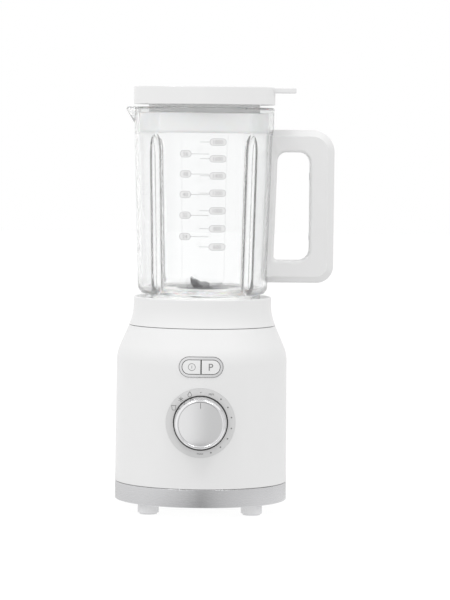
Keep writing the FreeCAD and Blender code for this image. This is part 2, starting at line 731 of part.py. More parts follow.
def motor_bearings():
    bearing = turned([
        (SHAFT_R + RUN, 0), (SHAFT_R + 2.4, 0), (SHAFT_R + 2.6, 0.5), (BEARING_R - 2.2, 0.5),
        (BEARING_R - 2.0, 0),
        (BEARING_R, 0, 0.4), (BEARING_R, BEARING_H, 0.4), (BEARING_R - 2.0, BEARING_H),
        (BEARING_R - 2.2, BEARING_H - 0.5),
        (SHAFT_R + 2.6, BEARING_H - 0.5), (SHAFT_R + 2.4, BEARING_H), (SHAFT_R + RUN, BEARING_H),
    ])
    return Part.makeCompound([
        moved(bearing, V(0, 0, UPPER_BRACKET_Z - 8)), moved(bearing, V(0, 0, LOWER_BRACKET_Z - 6)),
    ])


def motor_dampers():
    """Rubber grommets between the upper bracket and the posts under the deck."""
    low, high = UPPER_BRACKET_Z, UPPER_BRACKET_Z + BRACKET_T
    grommet = turned([
        (SCREW_R + 0.2, low - 3), (7.0, low - 3, 0.6), (7.0, low), (4.0, low), (4.0, high), (7.0, high),
        (7.0, high + 3, 0.6),
        (SCREW_R + 0.2, high + 3),
    ])
    return Part.makeCompound([moved(grommet, polar(MOTOR_POST_RING, angle)) for angle in QUARTERS])


def motor_bolts():
    """Four screws through the dampers, and two long bolts that clamp the brackets to the laminations."""
    bolts = [placed(
        screw(BRACKET_T + 6 + 9), polar(MOTOR_POST_RING, a, UPPER_BRACKET_Z - 3), Z_AXIS,
    ) for a in QUARTERS]
    for x in (-STATOR_BOLT_X, STATOR_BOLT_X):
        head = Part.makeCylinder(4.0, 3.0, V(x, 0, LOWER_BRACKET_Z - 3.0))
        shank = rod(BOLT_R, V(x, 0, LOWER_BRACKET_Z - 1), V(x, 0, UPPER_BRACKET_Z + BRACKET_T + 3.0))
        nut = Part.makeCylinder(4.0, 3.0, V(x, 0, UPPER_BRACKET_Z + BRACKET_T))
        bolts.append(fused(head, shank, nut))
    return Part.makeCompound(bolts)


def stator_core():
    corner = 14.0
    w, d = STATOR_W / 2, STATOR_D / 2
    outline = [(-w, -d, corner), (w, -d, corner), (w, d, corner), (-w, d, corner)]
    stack = moved(rounded_face(outline, "xy").extrude(V(0, 0, STACK_H)), V(0, 0, STACK_Z))
    stack = stack.cut(shaft_hole(ARMATURE_R + AIR_GAP))
    for side in (-1, 1):
        y_low, y_high = sorted((side * 8.0, side * (d - 10.0)))
        for x_side in (-1, 1):
            x_low, x_high = sorted((x_side * 20.0, x_side * (w - 12.0)))
            stack = stack.cut(block((x_low, x_high), (y_low, y_high), (STACK_Z - 1, STACK_TOP + 1)))
    for x in (-STATOR_BOLT_X, STATOR_BOLT_X):
        stack = stack.cut(rod(BOLT_R + SEAT, V(x, 0, STACK_Z - 1), V(x, 0, STACK_TOP + 1)))
    return stack


def field_coils():
    """The two field windings: each fills a pair of slots and loops over the ends of the stack."""
    coils = []
    d = STATOR_D / 2
    w = STATOR_W / 2
    for side in (-1, 1):
        y_low, y_high = sorted((side * 9.0, side * (d - 11.0)))
        legs = [block(
            sorted((s * 24.0, s * (w - 13.0))), (y_low, y_high), (STACK_Z - 2, STACK_TOP + 2),
        ) for s in (-1, 1)]
        ends = []
        for z in ((STACK_Z - 9, STACK_Z), (STACK_TOP, STACK_TOP + 9)):
            y_a, y_b = sorted((side * 26.0, side * (d - 2.0)))
            ends.append(block((-w + 13, w - 13), (y_a, y_b), z))
            for s in (-1, 1):
                ends.append(block(sorted((s * 24.0, s * (w - 13.0))), sorted((side * 9.0, side * 27.0)), z))
        coils.append(fused(legs[0], legs[1], *ends))
    return Part.makeCompound(coils)


def brush_z():
    return COMMUTATOR_Z + COMMUTATOR_H / 2


def brush_holders():
    z = brush_z()
    holders = []
    for side in (-1, 1):
        x_low, x_high = COMMUTATOR_R + 2.0, COMMUTATOR_R + BRUSH_LENGTH + BRUSH_SPRING + 2.0
        outer = block(
            (x_low, x_high), (-BRUSH_W / 2 - 2, BRUSH_W / 2 + 2),
            (LOWER_BRACKET_Z + BRACKET_T, z + BRUSH_H / 2 + 2),
        )
        hole = block(
            (x_low - 1, x_high - 2), (-BRUSH_W / 2 - SEAT, BRUSH_W / 2 + SEAT),
            (z - BRUSH_H / 2, z + BRUSH_H / 2 + SEAT),
        )
        holders += around(outer.cut(hole), [0 if side > 0 else 180])
    return Part.makeCompound(holders)


def carbon_brushes():
    z = brush_z()
    brush = block(
        (COMMUTATOR_R - 4, COMMUTATOR_R + BRUSH_LENGTH), (-BRUSH_W / 2, BRUSH_W / 2),
        (z - BRUSH_H / 2, z + BRUSH_H / 2),
    )
    brush = brush.cut(shaft_hole(COMMUTATOR_R + RUN))
    return Part.makeCompound(around(brush, (0, 180)))


def brush_springs():
    """Coil springs that press the brushes on the commutator."""
    start, end = COMMUTATOR_R + BRUSH_LENGTH, COMMUTATOR_R + BRUSH_LENGTH + BRUSH_SPRING
    turns, wire = 5, 0.35
    helix = Part.makeHelix((end - start - 2 * wire) / turns, end - start - 2 * wire, 2.0)
    profile = Part.Wire(Part.makeCircle(wire, V(2.0, 0, 0), Y_AXIS))
    spring = Part.Wire(helix).makePipeShell([profile], True, True)
    spring = placed(spring, V(start + wire, 0, brush_z()), V(1, 0, 0))
    return Part.makeCompound(around(spring, (0, 180)))


def motor_shaft():
    return turned([
        (0, FAN_Z - 3), (SHAFT_R, FAN_Z - 3, 0.5), (SHAFT_R, COUPLING_TOP - 1.2, 0.5),
        (0, COUPLING_TOP - 1.2),
    ])


def armature_core():
    core = ring(SHAFT_R, ARMATURE_R, STACK_Z, STACK_TOP)
    mouth = block((ARMATURE_R - 3, ARMATURE_R + 1), (-0.8, 0.8), (STACK_Z - 1, STACK_TOP + 1))
    pocket = rod(2.9, V(ARMATURE_R - 6.0, 0, STACK_Z - 1), V(ARMATURE_R - 6.0, 0, STACK_TOP + 1))
    cutters = around(mouth, evenly(ARMATURE_SLOTS)) + around(pocket, evenly(ARMATURE_SLOTS))
    return core.cut(Part.makeCompound(cutters))


def armature_windings():
    """The copper in the slots and the two bundles of end turns."""
    bar = rod(2.6, V(ARMATURE_R - 6.0, 0, STACK_Z - 2), V(ARMATURE_R - 6.0, 0, STACK_TOP + 2))
    bars = around(bar, evenly(ARMATURE_SLOTS))
    lower = turned([
        (SHAFT_R + 1, STACK_Z - 8, 2), (ARMATURE_R - 3, STACK_Z - 8, 3), (ARMATURE_R - 3, STACK_Z - 0.5),
        (SHAFT_R + 1, STACK_Z - 0.5),
    ])
    upper = turned([
        (SHAFT_R + 1, STACK_TOP + 0.5), (ARMATURE_R - 3, STACK_TOP + 0.5),
        (ARMATURE_R - 3, STACK_TOP + 8, 3), (SHAFT_R + 1, STACK_TOP + 8, 2),
    ])
    return fused(lower, upper, *bars)


def commutator():
    barrel = ring(SHAFT_R, COMMUTATOR_R, COMMUTATOR_Z, COMMUTATOR_Z + COMMUTATOR_H)
    gap = block(
        (COMMUTATOR_R - 0.8, COMMUTATOR_R + 1), (-0.25, 0.25),
        (COMMUTATOR_Z - 1, COMMUTATOR_Z + COMMUTATOR_H - 2),
    )
    return barrel.cut(Part.makeCompound(around(gap, range(0, 360, 15))))


def cooling_fan():
    hub = ring(SHAFT_R, 9.0, FAN_Z, FAN_Z + FAN_H)
    disc = ring(8.0, FAN_R - 4, FAN_Z + FAN_H - 2, FAN_Z + FAN_H)
    vane = block((8.0, FAN_R), (-0.9, 0.9), (FAN_Z, FAN_Z + FAN_H - 1))
    vane.rotate(V(8.0, 0, 0), Z_AXIS, 14)
    vane = vane.common(ring(0, FAN_R, FAN_Z, FAN_Z + FAN_H))
    return fused(hub, disc, *around(vane, evenly(FAN_BLADES)))


def spline_bar(root, tip, low, high):
    """A bar with straight teeth, or the space that such a bar needs."""
    tooth_half = math.pi * (root + tip) / 2 / COUPLING_TEETH / 2
    extra = tip - COUPLING_R
    tooth = block(
        (0, tip), (-tooth_half * 0.82 - extra, tooth_half * 0.82 + extra), (low, high),
    ).common(ring(0, tip, low, high))
    return fused(ring(0, root, low, high), *around(tooth, evenly(COUPLING_TEETH)))


def drive_coupling():
    """The toothed coupling on the motor's shaft, in the middle of the jug seat."""
    teeth = spline_bar(COUPLING_ROOT_R, COUPLING_R, COUPLING_TOP - 10.5, COUPLING_TOP)
    skirt = turned([
        (0, COUPLING_TOP - 13), (18.0, COUPLING_TOP - 13, 0.6), (18.0, COUPLING_TOP - 10.5, 0.6),
        (0, COUPLING_TOP - 10.5),
    ])
    hub = ring(0, 8.0, COUPLING_TOP - 22, COUPLING_TOP - 12)
    return fused(teeth, skirt, hub).cut(rod(SHAFT_R, V(0, 0, 0), V(0, 0, COUPLING_TOP - 1.2)))


# ---------------------------------------------------------------- blade unit
def driven_coupling():
    """The socket under the jug that drops over the drive coupling."""
    top = HUB_Z - 1.0
    low = COUPLING_TOP - ENGAGE
    cup = turned([(0, low), (SOCKET_R, low, 0.8), (SOCKET_R, top, 1.0), (0, top)])
    cup = cup.cut(spline_bar(COUPLING_ROOT_R + SLIP, COUPLING_R + SLIP, low - 1, COUPLING_TOP + 0.6))
    return cup.cut(rod(SHAFT_R, V(0, 0, COUPLING_TOP), V(0, 0, top + 1)))


def blade_shaft():
    low, high = COUPLING_TOP + 0.6, BLADE_Z + 2 * BLADE_T + NUT_H - 1.4
    return turned([(0, low), (SHAFT_R, low, 0.4), (SHAFT_R, high, 0.6), (0, high)])


def shaft_washers():
    """The thrust washer under the carrier and the spacer under the blades."""
    lower = ring(SHAFT_R, 7.0, HUB_Z - 1.0, HUB_Z - 0.2)
    upper = ring(SHAFT_R, 8.0, CARRIER_TOP + PLATE_T + 0.4, BLADE_Z)
    return Part.makeCompound([lower, upper])


def blade_arm(reach, bend, droop, heading):
    """One pointed arm bent from the hub by a number of degrees: bend lifts it, droop is its tip's sweep."""
    outline = [
        (8.0, -BLADE_W / 2 + 2.0), (12.0, -BLADE_W / 2), (reach * 0.62, -BLADE_W / 2 + 0.6),
        (reach, droop, 0.8), (reach * 0.72, BLADE_W / 2 - 2.2), (12.0, BLADE_W / 2),
        (8.0, BLADE_W / 2 - 2.0),
    ]
    arm = rounded_face(outline, "xy").extrude(V(0, 0, BLADE_T))
    pivot_z = 0 if bend > 0 else BLADE_T
    arm.rotate(V(8.0, 0, pivot_z), Y_AXIS, -bend)
    arm.rotate(ORIGIN, Z_AXIS, heading)
    return arm


def blade_pair(arms, low):
    hub = Part.makeCylinder(BLADE_HUB_R, BLADE_T)
    shape = fused(hub, *[blade_arm(*arm) for arm in arms]).cut(rod(SHAFT_R, V(0, 0, -20), V(0, 0, 20)))
    return moved(shape, V(0, 0, low))


def lower_blade():
    return blade_pair([(BLADE_REACH, -1, -3.0, -14), (BLADE_REACH, -3.5, -3.0, 166)], BLADE_Z)


def upper_blade():
    arms = [(BLADE_REACH * 0.86, 54, -2.0, 232), (BLADE_REACH * 0.96, 6, -2.0, 45)]
    return blade_pair(arms, BLADE_Z + BLADE_T)


def blade_nut():
    low = BLADE_Z + 2 * BLADE_T
    hexagon = Part.Face(Part.makePolygon([polar(7.2, 60 * i, low) for i in range(7)])).extrude(V(0, 0, NUT_H * 0.65))
    dome = turned([(0, low), (6.0, low), (6.0, low + NUT_H, 2.0), (0, low + NUT_H)])
    return fused(hexagon, dome).cut(rod(SHAFT_R, V(0, 0, low - 1), V(0, 0, low + NUT_H - 1.4)))


# ---------------------------------------------------------------- jug
def blade_carrier():
    """The floor of the jug: a dished plate with the blade shaft's bearing tube."""
    return turned([
        (BUSH_R, HUB_Z), (13.5, HUB_Z), (13.5, CARRIER_TOP - CARRIER_T - 1),
        (NECK_HOLE_R - 3.5, CARRIER_TOP - CARRIER_T - 3, 2),
        (NECK_HOLE_R - 3.5, CARRIER_Z), (NECK_R - 0.4, CARRIER_Z), (NECK_R - 0.4, CARRIER_Z + 3.0),
        (NECK_HOLE_R - 0.5, CARRIER_Z + 3.0),
        (NECK_HOLE_R - 0.5, CARRIER_TOP - 2.4, 2.0), (PLATE_R, CARRIER_TOP), (BUSH_R, CARRIER_TOP),
    ])


def blade_base_plate():
    low = CARRIER_TOP
    return turned([
        (SHAFT_R + 0.3, low), (PLATE_R, low), (PLATE_R - 0.6, low + PLATE_T, 0.6),
        (SHAFT_R + 0.3, low + PLATE_T),
    ])


def blade_bushes():
    lower = ring(SHAFT_R + RUN, BUSH_R, HUB_Z, HUB_Z + 6.0)
    upper = ring(SHAFT_R + RUN, BUSH_R, CARRIER_TOP - 7.0, CARRIER_TOP)
    return Part.makeCompound([lower, upper])


def shaft_seal():
    return turned([
        (SHAFT_R + RUN, HUB_Z + 6.2), (BUSH_R, HUB_Z + 6.2), (BUSH_R, CARRIER_TOP - 7.2),
        (SHAFT_R + 1.4, CARRIER_TOP - 7.2),
        (SHAFT_R + RUN, CARRIER_TOP - 7.9),
    ])


def neck_gasket():
    low, high = CARRIER_Z + 3.0, NECK_Z - 0.2
    return turned([
        (NECK_HOLE_R, low), (NECK_R - 0.4, low), (NECK_R - 0.4, high, 0.4), (NECK_HOLE_R, high, 0.4),
    ])


def lock_magnet():
    low = SEAT_TOP + 1.0
    return rod(MAGNET_R, V(0, MAGNET_RING_R, low), V(0, MAGNET_RING_R, low + MAGNET_H))


def flare_radius(width, height):
    """The arc that starts upright and runs out by width over height."""
    return (height ** 2 + width ** 2) / (2 * width)


def jug_collar():
    """The skirt that screws onto the glass neck, clamps the blade carrier and drops over the jug seat."""
    flare_top = COLLAR_TOP - COLLAR_STRAIGHT
    bend = flare_radius(SEAM_R - COLLAR_TOP_R, flare_top - COLLAR_Z)
    centre = V(COLLAR_TOP_R + bend, 0, flare_top)

    def on_arc(radius, z):
        return V(centre.x - math.sqrt(radius ** 2 - (flare_top - z) ** 2), 0, z)

    inner_bend = bend + COLLAR_WALL
    low, middle = COLLAR_Z, (COLLAR_Z + flare_top) / 2
    web = COLLAR_TOP - 6.5
    outer = Part.Arc(on_arc(bend, low), on_arc(bend, middle), on_arc(bend, flare_top)).toShape()
    inner = Part.Arc(
        on_arc(inner_bend, web - 2.5), on_arc(inner_bend, middle), on_arc(inner_bend, low),
    ).toShape()
    thread_in, thread_out = NECK_R + SLIP, NECK_R + SLIP + 3.0
    corners = [
        on_arc(bend, flare_top), V(COLLAR_TOP_R, 0, COLLAR_TOP - 0.8), V(COLLAR_TOP_R - 0.8, 0, COLLAR_TOP),
        V(COLLAR_TOP_R - 2.0, 0, COLLAR_TOP), V(thread_in + 1.2, 0, web + 1.5), V(thread_in, 0, web),
        V(thread_in, 0, CARRIER_Z), V(NECK_HOLE_R - 3.0, 0, CARRIER_Z), V(NECK_HOLE_R - 3.0, 0, FLANGE_Z),
        V(thread_out, 0, FLANGE_Z), V(thread_out, 0, web - 2.5), on_arc(inner_bend, web - 2.5),
    ]
    runs = [Part.LineSegment(a, b).toShape() for a, b in zip(corners, corners[1:])]
    foot = Part.LineSegment(on_arc(inner_bend, low), on_arc(bend, low)).toShape()
    profile = Part.Face(Part.Wire(Part.__sortEdges__([outer, *runs, inner, foot])))
    shell = profile.revolve(ORIGIN, Z_AXIS, 360)
    half = DOG_W / 2
    dog = block((SEAT_WALL_R[0] - 1.0, thread_out), (-half, half), (SEAT_TOP + 1.0, FLANGE_Z + 0.5))
    return fused(shell, *around(dog, seat_notch_angles())).cut(lock_magnet())


def wall_radius(z):
    """The glass body's outer radius at a height, before its bottom corner is rounded."""
    return JUG_RIM_R - WALL_SLOPE * (RIM_Z - z)


def flute_bar(radius):
    """A bar along the jug's wall that bends outwards at the top: it cuts a flute, or makes its rib inside."""
    start_z = NECK_Z - 30
    end_z = RIM_Z - FLUTE_TOP_GAP
    offset = FLUTE_R - FLUTE_DEPTH
    start = V(wall_radius(start_z) + offset, 0, start_z)
    end = V(wall_radius(end_z) + offset, 0, end_z)
    along = (end - start).normalize()
    outward = V(along.z, 0, -along.x)
    turn = math.radians(50)
    centre = end + outward * FLUTE_BEND_R

    def bend_point(angle):
        return centre - outward * (FLUTE_BEND_R * math.cos(angle)) + along * (FLUTE_BEND_R * math.sin(angle))

    line = Part.LineSegment(start, end).toShape()
    arc = Part.Arc(end, bend_point(turn / 2), bend_point(turn)).toShape()
    section = Part.Wire(Part.makeCircle(radius, start, along))
    bar = Part.Wire([line, arc]).makePipeShell([section], True, False)
    return bar


def flute_angles():
    return [45 + angle for angle in evenly(FLUTE_COUNT)]


def spout_cone(inset):
    """A half-sunk cone under the rim: the outside of the spout, or its channel when inset by the glass."""
    top = SPOUT_R - inset
    centre = JUG_RIM_R + SPOUT_REACH - SPOUT_R
    slope = (SPOUT_R - 1.5) / SPOUT_H
    foot = max(top - slope * SPOUT_H, 0.4)
    low = RIM_Z - (top - foot) / slope
    if inset:
        outline = [(0, low), (foot, low), (top, RIM_Z), (top, RIM_Z + 4), (0, RIM_Z + 4)]
    else:
        outline = [(0, low), (foot, low), (top, RIM_Z, SPOUT_ROUND), (0, RIM_Z)]
    return moved(turned(outline), V(-centre, 0, 0))


def glass_jug():
    """The glass body: a tapered round wall with inward flutes, a neck below and a pouring spout on top."""
    inside_floor = JUG_Z + 3.2
    inner_foot = JUG_FOOT_R - GLASS_T
    inner_rim = JUG_RIM_R - GLASS_T
    outer = turned([
        (0, NECK_Z), (NECK_R, NECK_Z, 0.8), (NECK_R, JUG_Z, 1.5), (JUG_FOOT_R - 3.5, JUG_Z, 3.0),
        (JUG_FOOT_R, JUG_Z + JUG_CORNER_Z, JUG_CORNER),
        (JUG_RIM_R, RIM_Z, RIM_ROUND), (0, RIM_Z),
    ])
    cavity = turned([
        (0, NECK_Z - 1), (NECK_HOLE_R, NECK_Z - 1), (NECK_HOLE_R, inside_floor, 2.0),
        (inner_foot - 1.0, inside_floor + 1.0, 6.0),
        (inner_foot + WALL_SLOPE * 12, inside_floor + 14, 20.0), (inner_rim, RIM_Z - RIM_ROUND, 3.0),
        (inner_rim + RIM_ROUND, RIM_Z + 1), (0, RIM_Z + 1),
    ])
    ribs = around(flute_bar(FLUTE_R + GLASS_T), flute_angles())
    flutes = around(flute_bar(FLUTE_R), flute_angles())
    above_floor = ring(0, JUG_RIM_R + 20, inside_floor - 0.5, RIM_Z + 20)
    for rib in ribs:
        cavity = cavity.cut(rib.common(above_floor))
    body = outer.fuse(spout_cone(0).common(ring(0, JUG_RIM_R + 30, RIM_Z - 40, RIM_Z)))
    body = body.cut(cavity).cut(spout_cone(GLASS_T - 0.8))
    for flute in flutes:
        body = body.cut(flute)
    return body.removeSplitter()


def handle_outline(inset=0.0):
    """The handle's outer outline in the XZ plane. Its left side follows the glass."""
    top = RIM_Z - HANDLE_TOP_GAP - inset
    low = RIM_Z - HANDLE_TOP_GAP - HANDLE_H + inset
    right = HANDLE_REACH - inset
    return [
        (wall_radius(low) - 3, low), (right, low, 17.0 - inset), (right, top, 22.0 - inset),
        (wall_radius(top) - 3, top),
    ]


def handle_opening(grow=0.0):
    top = RIM_Z - HANDLE_TOP_GAP - BAR_H + grow
    low = RIM_Z - HANDLE_TOP_GAP - HANDLE_H + BAR_H - grow
    right = HANDLE_REACH - GRIP_W + grow
    left = HANDLE_PLATE - grow
    return [
        (wall_radius(low) + left, low, 4.0 + grow), (right, low, 11.0 + grow), (right, top, 11.0 + grow),
        (wall_radius(top) + left, top, 9.0 + grow),
    ]


def slab(outline, depth):
    """An XZ outline thickened evenly to both sides of the XZ plane."""
    return moved(rounded_face(outline, "xz").extrude(V(0, depth, 0)), V(0, -depth / 2, 0))


def jug_wall_cutter():
    """The space inside the glass body's outer surface."""
    low, high = JUG_Z - 10, RIM_Z + 10
    return turned([(0, low), (wall_radius(low), low), (wall_radius(high), high), (0, high)])


def flat_side_edges(shape):
    """The edges that lie in the handle's two flat sides."""
    edges = [e for e in shape.Edges if e.BoundBox.YLength < 1e-6]
    return [e for e in edges if abs(abs(e.CenterOfMass.y) - HANDLE_DEPTH / 2) < 1e-6]


def handle():
    """The grip loop: a bevelled frame round the finger hole, with a pocket for its liner."""
    frame = slab(handle_outline(), HANDLE_DEPTH)
    outside = [e for e in flat_side_edges(frame) if e.BoundBox.XMax > JUG_RIM_R + 1]
    frame = frame.makeChamfer(HANDLE_BEVEL, outside)
    frame = frame.cut(slab(handle_opening(), HANDLE_DEPTH + 2))
    hole = rounded_face(handle_opening(), "xz").BoundBox
    rim = []
    for edge in flat_side_edges(frame):
        box = edge.BoundBox
        level = box.ZMin > hole.ZMin - 1 and box.ZMax < hole.ZMax + 1
        if level and box.XMin > hole.XMin - 1 and box.XMax < hole.XMax + 1:
            rim.append(edge)
    frame = frame.makeFillet(HANDLE_SOFTEN, rim)
    pocket = slab(handle_opening(LINER_T + SEAT), LINER_W + 2 * SEAT)
    frame = frame.cut(pocket.cut(inboard_of(liner_start() - SEAT))).cut(jug_wall_cutter())
    for z in handle_screw_levels():
        start = V(HANDLE_REACH - GRIP_W, 0, z)
        frame = frame.cut(rod(SCREW_R, start, start + V(LINER_T + 9.0, 0, 0)))
    return frame


def inboard_of(radius):
    """All the space nearer to the motor axis than a radius, at the handle's levels."""
    return ring(0, radius, 0, RIM_Z + 50)


def liner_start():
    return HANDLE_REACH - GRIP_W - LINER_REACH


def handle_screw_levels():
    middle = RIM_Z - HANDLE_TOP_GAP - HANDLE_H / 2
    return (middle - 30, middle + 30)


def handle_liner():
    """The inlay on the finger side of the grip, which takes the handle's screws."""
    strip = slab(handle_opening(LINER_T), LINER_W).cut(slab(handle_opening(), HANDLE_DEPTH))
    strip = strip.cut(inboard_of(liner_start()))
    x = HANDLE_REACH - GRIP_W
    for z in handle_screw_levels():
        strip = strip.cut(rod(SCREW_R + 0.3, V(x - 5, 0, z), V(x + 6, 0, z)))
        strip = strip.cut(rod(SCREW_HEAD_R + 0.3, V(x - 5, 0, z), V(x + 1.0, 0, z)))
    return strip


def handle_screws():
    x = HANDLE_REACH - GRIP_W + 1.0
    return Part.makeCompound([placed(short_screw(), V(x, 0, z), V(1, 0, 0)) for z in handle_screw_levels()])


def short_screw():
    head = Part.makeCylinder(SCREW_HEAD_R, 1.4, V(0, 0, -1.4))
    return fused(head, Part.makeCylinder(SCREW_R, LINER_T + 8.0))


# ---------------------------------------------------------------- lid
def cap_step():
    """The level of the ledge round the filler hole, under the cap's flange."""
    return LID_TOP - CAP_FLANGE_T - LIFT_GAP


def lid_cover():
    """The lid's visible disc, with its skirt, its lifting tab and the filler hole's step."""
    disc = turned([
        (FILLER_R + FILLER_WALL, LID_TOP - LID_TOP_T), (LID_R - LID_SKIRT, LID_TOP - LID_TOP_T),
        (LID_R - LID_SKIRT, COVER_BOTTOM),
        (LID_R, COVER_BOTTOM, 0.5), (LID_R, LID_TOP, 1.2), (FILLER_R + CAP_FLANGE + SLIP, LID_TOP, 0.4),
        (FILLER_R + CAP_FLANGE + SLIP, cap_step()), (FILLER_R + FILLER_WALL, cap_step()),
    ])
    half = TAB_W / 2
    tab_low = LID_TOP - TAB_DROP - TAB_T
    outline = [(LID_R - 3, -half), (TAB_REACH, -half, 7.0), (TAB_REACH, half, 7.0), (LID_R - 3, half)]
    tab = moved(rounded_face(outline, "xy").extrude(V(0, 0, TAB_T)), V(0, 0, tab_low))
    level = [e for e in tab.Edges if e.BoundBox.ZLength < 1e-6 and e.BoundBox.XMax > LID_R + 1]
    tab = tab.makeFillet(1.0, level).cut(ring(0, LID_R - 1.3, tab_low - 1, LID_TOP + 1))
    return fused(disc, tab)


def lid_insert():
    """The lid's inner part: a web under the cover, the neck, the plug's wall and the filler tube."""
    web_r = LID_R - LID_SKIRT - SEAT
    tube_in, tube_out = FILLER_R, FILLER_R + FILLER_WALL
    plug_out = plug_radius() - GASKET_T
    wall = PLUG_WALL
    top = cap_step()
    web_z = COVER_BOTTOM + 1.0
    return turned([
        (tube_in, PLUG_Z), (tube_out, PLUG_Z, 0.6), (tube_out, PLUG_TOP - wall),
        (plug_out - wall, PLUG_TOP - wall),
        (plug_out - wall, PLUG_Z + 0.5), (plug_out, PLUG_Z + 0.5), (plug_out, PLUG_TOP),
        (LID_NECK_R, PLUG_TOP, 1.0), (LID_NECK_R, web_z, 0.8),
        (web_r, web_z), (web_r, web_z + wall), (LID_NECK_R - wall, web_z + wall),
        (LID_NECK_R - wall, PLUG_TOP + 1.5),
        (tube_out, PLUG_TOP + 1.5), (tube_out, top), (tube_in, top),
    ])


def plug_radius():
    """The gasket's outer radius, which follows the narrowest place in the glass beside it."""
    return wall_radius(PLUG_Z) - GLASS_T - GASKET_GAP


def lid_gasket():
    """The soft sleeve round the plug that grips the glass, with a lip at its foot and one at its top."""
    inner = plug_radius() - GASKET_T
    outer = plug_radius()
    return turned([
        (inner - PLUG_WALL, PLUG_Z - 0.6), (outer - 0.8, PLUG_Z - 0.6, 0.6), (outer, PLUG_Z + 1.6),
        (outer, PLUG_TOP, 1.0),
        (inner, PLUG_TOP), (inner, PLUG_Z + 0.5), (inner - PLUG_WALL, PLUG_Z + 0.5),
    ])


def filler_cap():
    """The hollow cap in the middle of the lid: a cup with its mouth down, a flange and a grip bar."""
    radius = FILLER_R - SLIP
    low = PLUG_Z + 6.0
    flange_low = LID_TOP - CAP_FLANGE_T
    flange_r = FILLER_R + CAP_FLANGE
    cup = turned([
        (radius - 2.2, low), (radius, low, 0.6), (radius, flange_low), (flange_r, flange_low),
        (flange_r, LID_TOP, 0.8),
        (radius - 4.0, LID_TOP, 0.8), (radius - 6.0, LID_TOP - 5.5, 2.0), (0, LID_TOP - 5.5),
        (0, LID_TOP - 8.0),
        (radius - 2.2, LID_TOP - 8.0, 1.5),
    ])
    reach = radius - 5.0
    grip = block((-reach, reach), (-3.0, 3.0), (LID_TOP - 6.0, LID_TOP))
    top_edges = [e for e in grip.Edges if abs(e.CenterOfMass.z - LID_TOP) < 1e-6 and e.BoundBox.XLength > 1]
    grip = grip.makeFillet(1.2, top_edges)
    return fused(cup, grip)


# ---------------------------------------------------------------- export
NODES = {
    "housing": housing, "trim_band": trim_band, "bottom_cover": bottom_cover, "feet": feet,
    "fan_shroud": fan_shroud,
    "jug_seat": jug_seat, "reed_switch": reed_switch, "lock_magnet": lock_magnet, "rest_pads": rest_pads,
    "base_screws": base_screws, "cord_gland": cord_gland,
    "button_bezel": button_bezel, "dial_ring": dial_ring, "tact_switches": tact_switches,
    "rotary_switch": rotary_switch,
    "control_board": control_board, "board_components": board_components,
    "power_button": lambda: button(-1), "pulse_button": lambda: button(1),
    "knob_rim": knob_rim, "knob_face": knob_face, "knob_hub": knob_hub, "switch_shaft": switch_shaft,
    "upper_bracket": upper_bracket, "lower_bracket": lower_bracket, "motor_bearings": motor_bearings,
    "motor_dampers": motor_dampers, "motor_bolts": motor_bolts, "stator_core": stator_core,
    "field_coils": field_coils,
    "brush_holders": brush_holders, "carbon_brushes": carbon_brushes, "brush_springs": brush_springs,
    "motor_shaft": motor_shaft, "armature_core": armature_core, "armature_windings": armature_windings,
    "commutator": commutator, "cooling_fan": cooling_fan, "drive_coupling": drive_coupling,
    "driven_coupling": driven_coupling, "blade_shaft": blade_shaft, "shaft_washers": shaft_washers,
    "lower_blade": lower_blade, "upper_blade": upper_blade, "blade_nut": blade_nut,
    "blade_carrier": blade_carrier, "blade_base_plate": blade_base_plate, "blade_bushes": blade_bushes,
    "shaft_seal": shaft_seal, "neck_gasket": neck_gasket, "jug_collar": jug_collar, "glass_jug": glass_jug,
    "handle": handle, "handle_liner": handle_liner, "handle_screws": handle_screws,
    "lid_cover": lid_cover, "lid_insert": lid_insert, "lid_gasket": lid_gasket, "filler_cap": filler_cap,
}

os.makedirs("parts", exist_ok=True)
for name, build in NODES.items():
    shape = build()
    solids = shape.Solids
    assert solids and all(s.isValid() and s.Volume > 0 for s in solids), name + " has a bad solid"
    whole = solids[0] if len(solids) == 1 else Part.makeCompound(solids)
    whole.exportStep("parts/" + name + ".step")
    print(name, len(solids), "solids", round(whole.Volume / 1000, 2), "cm3")
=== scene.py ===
"""The looks of the countertop blender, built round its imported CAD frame.

Metres, +Z up, in the frame's own place. The control panel faces -Y and the jug's handle points along +X.
"""

import json
import math

import bmesh
import bpy
from mathutils import Matrix, Vector
from mathutils.bvhtree import BVHTree


